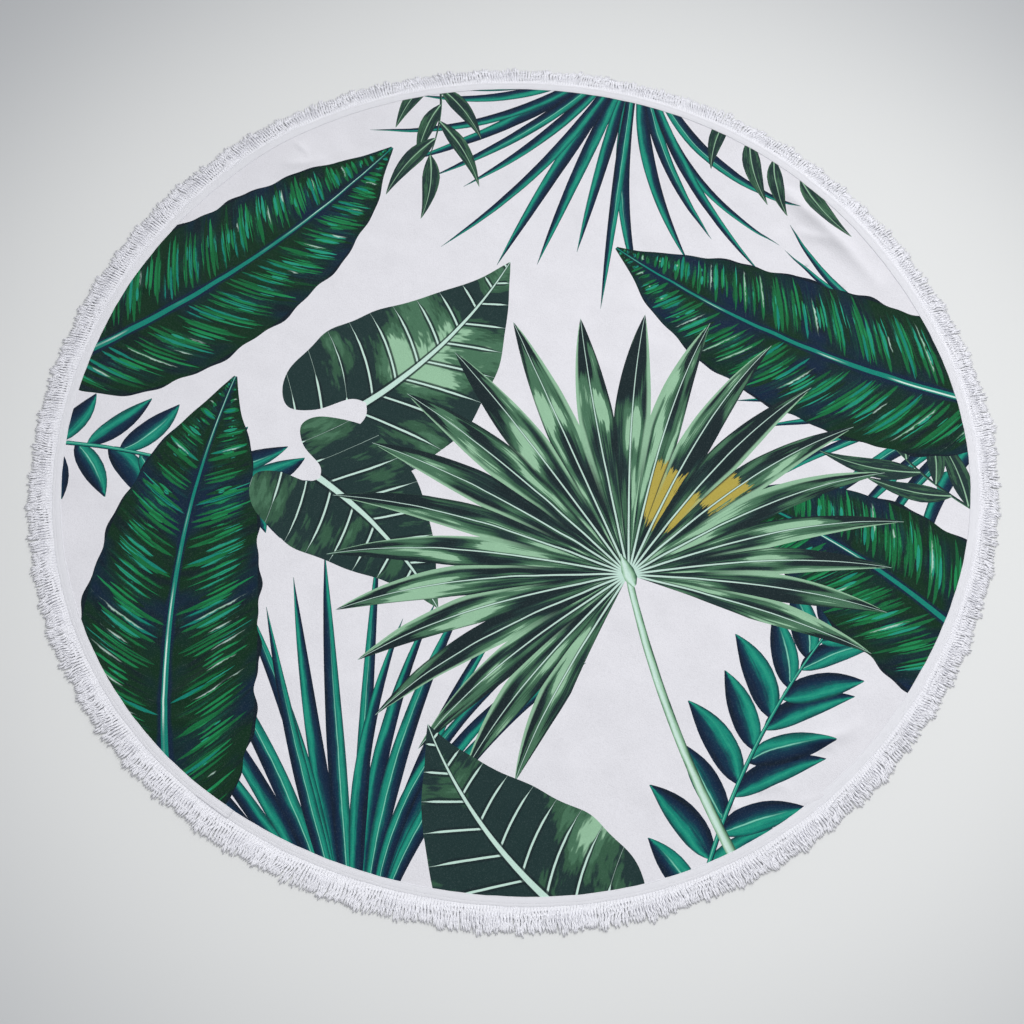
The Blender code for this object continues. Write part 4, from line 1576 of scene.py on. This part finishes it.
def cord_paths():
    i = np.arange(CORDS)
    middle, half, number = clumps()
    step = 2 * math.pi / CORDS
    turn = (i + 0.45 * spread(i, 61)) * step
    rim = waves(RIM_WAVES, turn)
    root = TAPE_OUT_R - 0.0024 + rim
    off = (i - middle) / half
    upper = i % 2
    reach = TIP_R + waves(TIP_WAVES, turn) - 0.0014
    reach = reach + (0.0068 * shared(number, 62) ** 1.4 + 0.0010) * (1 - 1.25 * off**2) + 0.0018 * spread(i, 63) + 0.0012 * shared(i, 72)
    # sideways at the tip, in m: gathered to the clump's middle, leaning with it, and a little of its own
    gather = -off * half * step * 0.73 * (0.16 + 0.50 * shared(number, 64)) * (0.30 + 0.70 * upper)
    lean = 0.0018 * upper * spread(number, 65) + 0.0034 * np.sin(turn * 11 + 1.1) + 0.0026 * np.sin(turn * 29 + 0.7) + 0.0010 * np.sin(turn * 71 + 2.7)
    own = (0.0009 + 0.0028 * upper) * spread(i, 66)
    stray = np.where(shared(i, 67) > 0.975, 0.0050 * np.sign(spread(i, 68)), 0.0)
    u = np.linspace(0, 1, PLY_RINGS)[None]
    length = (reach - root)[:, None]
    wild, phase = ((0.0007 + 0.0013 * shared(i, 69)) * (0.35 + 0.65 * upper))[:, None], 6.28 * shared(i, 70)[:, None]
    curl = wild * (np.sin((6.0 + 9.0 * shared(i, 75)[:, None]) * u + phase) - np.sin(phase)) * ease(u, 0.0, 0.35)
    shift = (lean + own + stray)[:, None] * (0.30 * u + 0.70 * u**1.8) + gather[:, None] * u**2.4 + curl
    r = root[:, None] + length * u * (1 - 0.02 * np.abs(spread(i, 71))[:, None] * u)
    angle = turn[:, None] + shift / 0.735
    layer = upper * (0.00110 + 0.0008 * shared(i, 72)) + 0.0003 * shared(i, 79) + np.where(np.abs(stray) > 0, 0.0014, 0.0)
    rest = (1.34 - 0.40 * upper)[:, None] * PLY_R + PLY_OFF + 0.00010 + layer[:, None] * ease(u, 0.06, 0.42)
    wave = (0.00012 + 0.00024 * upper)[:, None] * (1 + np.sin((8.0 + 5.0 * shared(i, 78)[:, None]) * u + 6.28 * shared(i, 73)[:, None])) * ease(u, 0.1, 0.5)
    z = ROOT_Z + (rest - ROOT_Z) * ease(u, 0.03, 0.30) + wave
    # the ends fall to the surface, the lower cords' first
    low = 1.34 * PLY_R * 0.84 + 0.34 * PLY_OFF + 0.00012 + 0.24 * layer[:, None]
    z = z + (low - z) * ease(u, 0.70, 1.00)
    lifted = rim_lift(angle) * (1 - 0.72 * ease(u, 0.0, 0.9))
    return np.stack([r * np.cos(angle), r * np.sin(angle), z + lifted], -1)


def plies(paths, run):
    """The two plies of each cord, wound round its middle line, and each ply's turn about it."""
    i = np.arange(len(paths))
    ahead = np.gradient(paths, axis=1)
    ahead /= np.linalg.norm(ahead, axis=2, keepdims=True)
    up = np.zeros_like(ahead)
    up[..., 2] = 1.0
    up -= ahead * (up * ahead).sum(2, keepdims=True)
    up /= np.linalg.norm(up, axis=2, keepdims=True)
    side = np.cross(ahead, up)
    share = run / run[:, -1:]
    loose = 1 + 0.30 * ease(share, 0.80, 1.0) * (0.4 + shared(i, 76))[:, None]
    # towards the cut end the plies open out side by side
    flat = 0.94 - 0.62 * ease(share, 0.74, 0.98)
    away = PLY_OFF * (0.55 + 0.45 * ease(share, 0.0, 0.12)) * loose
    out, turns = [], []
    for k in (0, 1):
        theta = 2 * math.pi * (run / (TWIST * (1 + 0.12 * spread(i, 77))[:, None]) + shared(i, 81)[:, None] + 0.5 * k)
        out.append(paths + away[..., None] * (np.cos(theta)[..., None] * side + (flat * np.sin(theta))[..., None] * up))
        turns.append(theta)
    shape = (2 * len(paths), *paths.shape[1:])
    return np.stack(out, 1).reshape(shape), np.stack(turns, 1).reshape(shape[:2])


def fringe_arcs(material):
    paths = cord_paths()
    step = np.linalg.norm(np.diff(paths, axis=1), axis=2)
    run = np.concatenate([np.zeros((CORDS, 1)), np.cumsum(step, 1)], 1)
    strands, theta = plies(paths, run)
    run = np.repeat(run, 2, axis=0)
    j = np.arange(len(strands))
    # one ply of a cord ends a little before the other
    tail = strands[:, -1] - strands[:, -2]
    strands[:, -1] += tail * (0.35 * spread(j, 84))[:, None]
    share = run / run[:, -1:]
    left = run[:, -1:] - run
    upper = j // 2 % 2
    thick = PLY_R * (1.34 - 0.40 * upper + 0.14 * spread(j, 82))[:, None] * (0.92 + 0.08 * ease(share, 0.0, 0.16)) * (1 - 0.16 * ease(share, 0.80, 0.97))
    thick = thick * np.where(share > 0.999, 0.60, 1.0)
    phi = np.arange(PLY_SIDES) * 2 * math.pi / PLY_SIDES
    inward = 0.5 - 0.5 * np.cos(phi[None, None] - theta[..., None])
    radii = np.broadcast_to(thick[..., None], inward.shape)
    out = []
    names = ("east", "north", "west", "south")
    per = 2 * CORDS // len(names)
    for k, name in enumerate(names):
        mine = (np.arange(per) + k * per - per // 2) % len(strands)
        points, faces = tubes(strands[mine], radii[mine], PLY_SIDES)
        mesh = new_mesh(f"fringe_{name}", points, faces)
        # how far from the cord's cut end, which cord, how deep in the twist; the cotton material paints shade from the
        # first and the last
        size = PLY_RINGS * PLY_SIDES + 2
        place = np.zeros((per, size, 3), np.float32)
        body = place[:, : size - 2].reshape(per, PLY_RINGS, PLY_SIDES, 3)
        body[..., 0] = left[mine][..., None]
        body[..., 2] = inward[mine]
        place[:, : size - 2] = body.reshape(per, -1, 3)
        place[:, size - 2, 0] = left[mine][:, 0]
        place[:, size - 2 :, 2] = 0.5
        place[..., 1] = shared(mine // 2, 83)[:, None]
        mesh.attributes.new("cord_place", "FLOAT_VECTOR", "POINT").data.foreach_set("vector", place.reshape(-1))
        tube_map(mesh, per, PLY_RINGS, PLY_SIDES, 20, math.ceil(per / 20))
        obj = new_piece(f"fringe_{name}", mesh, "fringe_cord", material)
        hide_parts("fringe_comb")
        out.append(obj)
        print(f"fringe_{name}:", len(faces))
    return out



# ---- floor, light and camera ---------------------------------------------------
def studio():
    scene = bpy.context.scene
    scene.view_settings.view_transform = "Standard"
    mesh = new_mesh("studio_floor", [(-40, -40, 0), (40, -40, 0), (40, 40, 0), (-40, 40, 0)], [(0, 1, 2, 3)], smooth=False)
    floor = bpy.data.objects.new("studio_floor", mesh)
    scene.collection.objects.link(floor)
    paint = Paint("floor_paper", roughness=0.85, specular=0.2)
    at = paint.place()
    cloud = paint.noise(at, 0.9, 2.0, 0.5)
    x, y, _ = paint.parts(at)
    away = ((x - 0.04) * (x - 0.04) + y * y).power(0.5)
    tone = paint.mix(cloud, linear(224, 225, 225), linear(228, 229, 229))
    # painted shade: the floor's colour darkens from 0.74 m to 1.42 m out from the middle, standing in for the light
    # falling off towards the corners
    mesh.materials.append(paint.finish(paint.mix(away.rise(0.74, 1.42), tone, linear(188, 190, 193))))

    world = bpy.data.worlds.new("studio")
    scene.world = world
    world.use_nodes = True
    shade = world.node_tree.nodes["Background"]
    shade.inputs["Color"].default_value = (0.97, 0.985, 1.0, 1.0)
    # the room is lighter towards its windows, behind the towel and to its right
    way = world.node_tree.nodes.new("ShaderNodeTexCoord")
    toward = world.node_tree.nodes.new("ShaderNodeVectorMath")
    toward.operation = "DOT_PRODUCT"
    toward.inputs[1].default_value = (0.62, 0.78, 0.0)
    level = world.node_tree.nodes.new("ShaderNodeMath")
    level.operation = "MULTIPLY_ADD"
    level.inputs[1].default_value, level.inputs[2].default_value = 0.12, 0.575
    world.node_tree.links.new(way.outputs["Generated"], toward.inputs[0])
    world.node_tree.links.new(toward.outputs["Value"], level.inputs[0])
    world.node_tree.links.new(level.outputs["Value"], shade.inputs["Strength"])

    def lamp(name, at, aim, data, colour):
        data.color = colour
        obj = bpy.data.objects.new(name, data)
        obj.matrix_world = Matrix.Translation(at) @ (Vector(aim) - Vector(at)).to_track_quat("-Z", "Y").to_matrix().to_4x4()
        scene.collection.objects.link(obj)

    key = bpy.data.lights.new("key", "AREA")
    key.shape, key.size, key.energy = "DISK", 4.6, 168
    lamp("key", (3.2, 4.5, 4.7), (0, 0, 0), key, (1.0, 0.995, 0.985))
    pool = bpy.data.lights.new("pool", "SPOT")
    pool.spot_size, pool.spot_blend, pool.shadow_soft_size, pool.energy = math.radians(34), 0.70, 0.70, 302
    lamp("pool", (1.15, 1.05, 4.75), (0.20, -0.22, 0), pool, (1.0, 0.998, 0.99))

    data = bpy.data.cameras.new("photo_view")
    data.sensor_width, data.lens = 36.0, 1.654 * 36.0
    data.clip_start, data.clip_end = 0.05, 60
    camera = bpy.data.objects.new("photo_view", data)
    scene.collection.objects.link(camera)
    stand, aim = Vector((-0.002, -1.237, 2.344)), Vector((-0.002, -0.112, 0.0))
    ahead = (aim - stand).normalized()
    right = ahead.cross(Vector((0, 0, 1))).normalized()
    over = right.cross(ahead)
    roll = math.radians(0.77)
    tilted = right * math.cos(roll) + over * math.sin(roll)
    over = tilted.cross(ahead)
    turn = Matrix((tilted, over, -ahead)).transposed().to_4x4()
    camera.matrix_world = Matrix.Translation(stand) @ turn
    scene.camera = camera


def main():
    studio()
    weave, thread, cotton = tape_weave(), thread_white(), cord_cotton()
    cloth = printed_cloth(composition(), print_materials())
    band = heading_band(weave)
    seams = stitch_rows(thread)
    under = under_stitches(thread)
    header = fringe_header(weave)
    cords = fringe_arcs(cotton)


main()
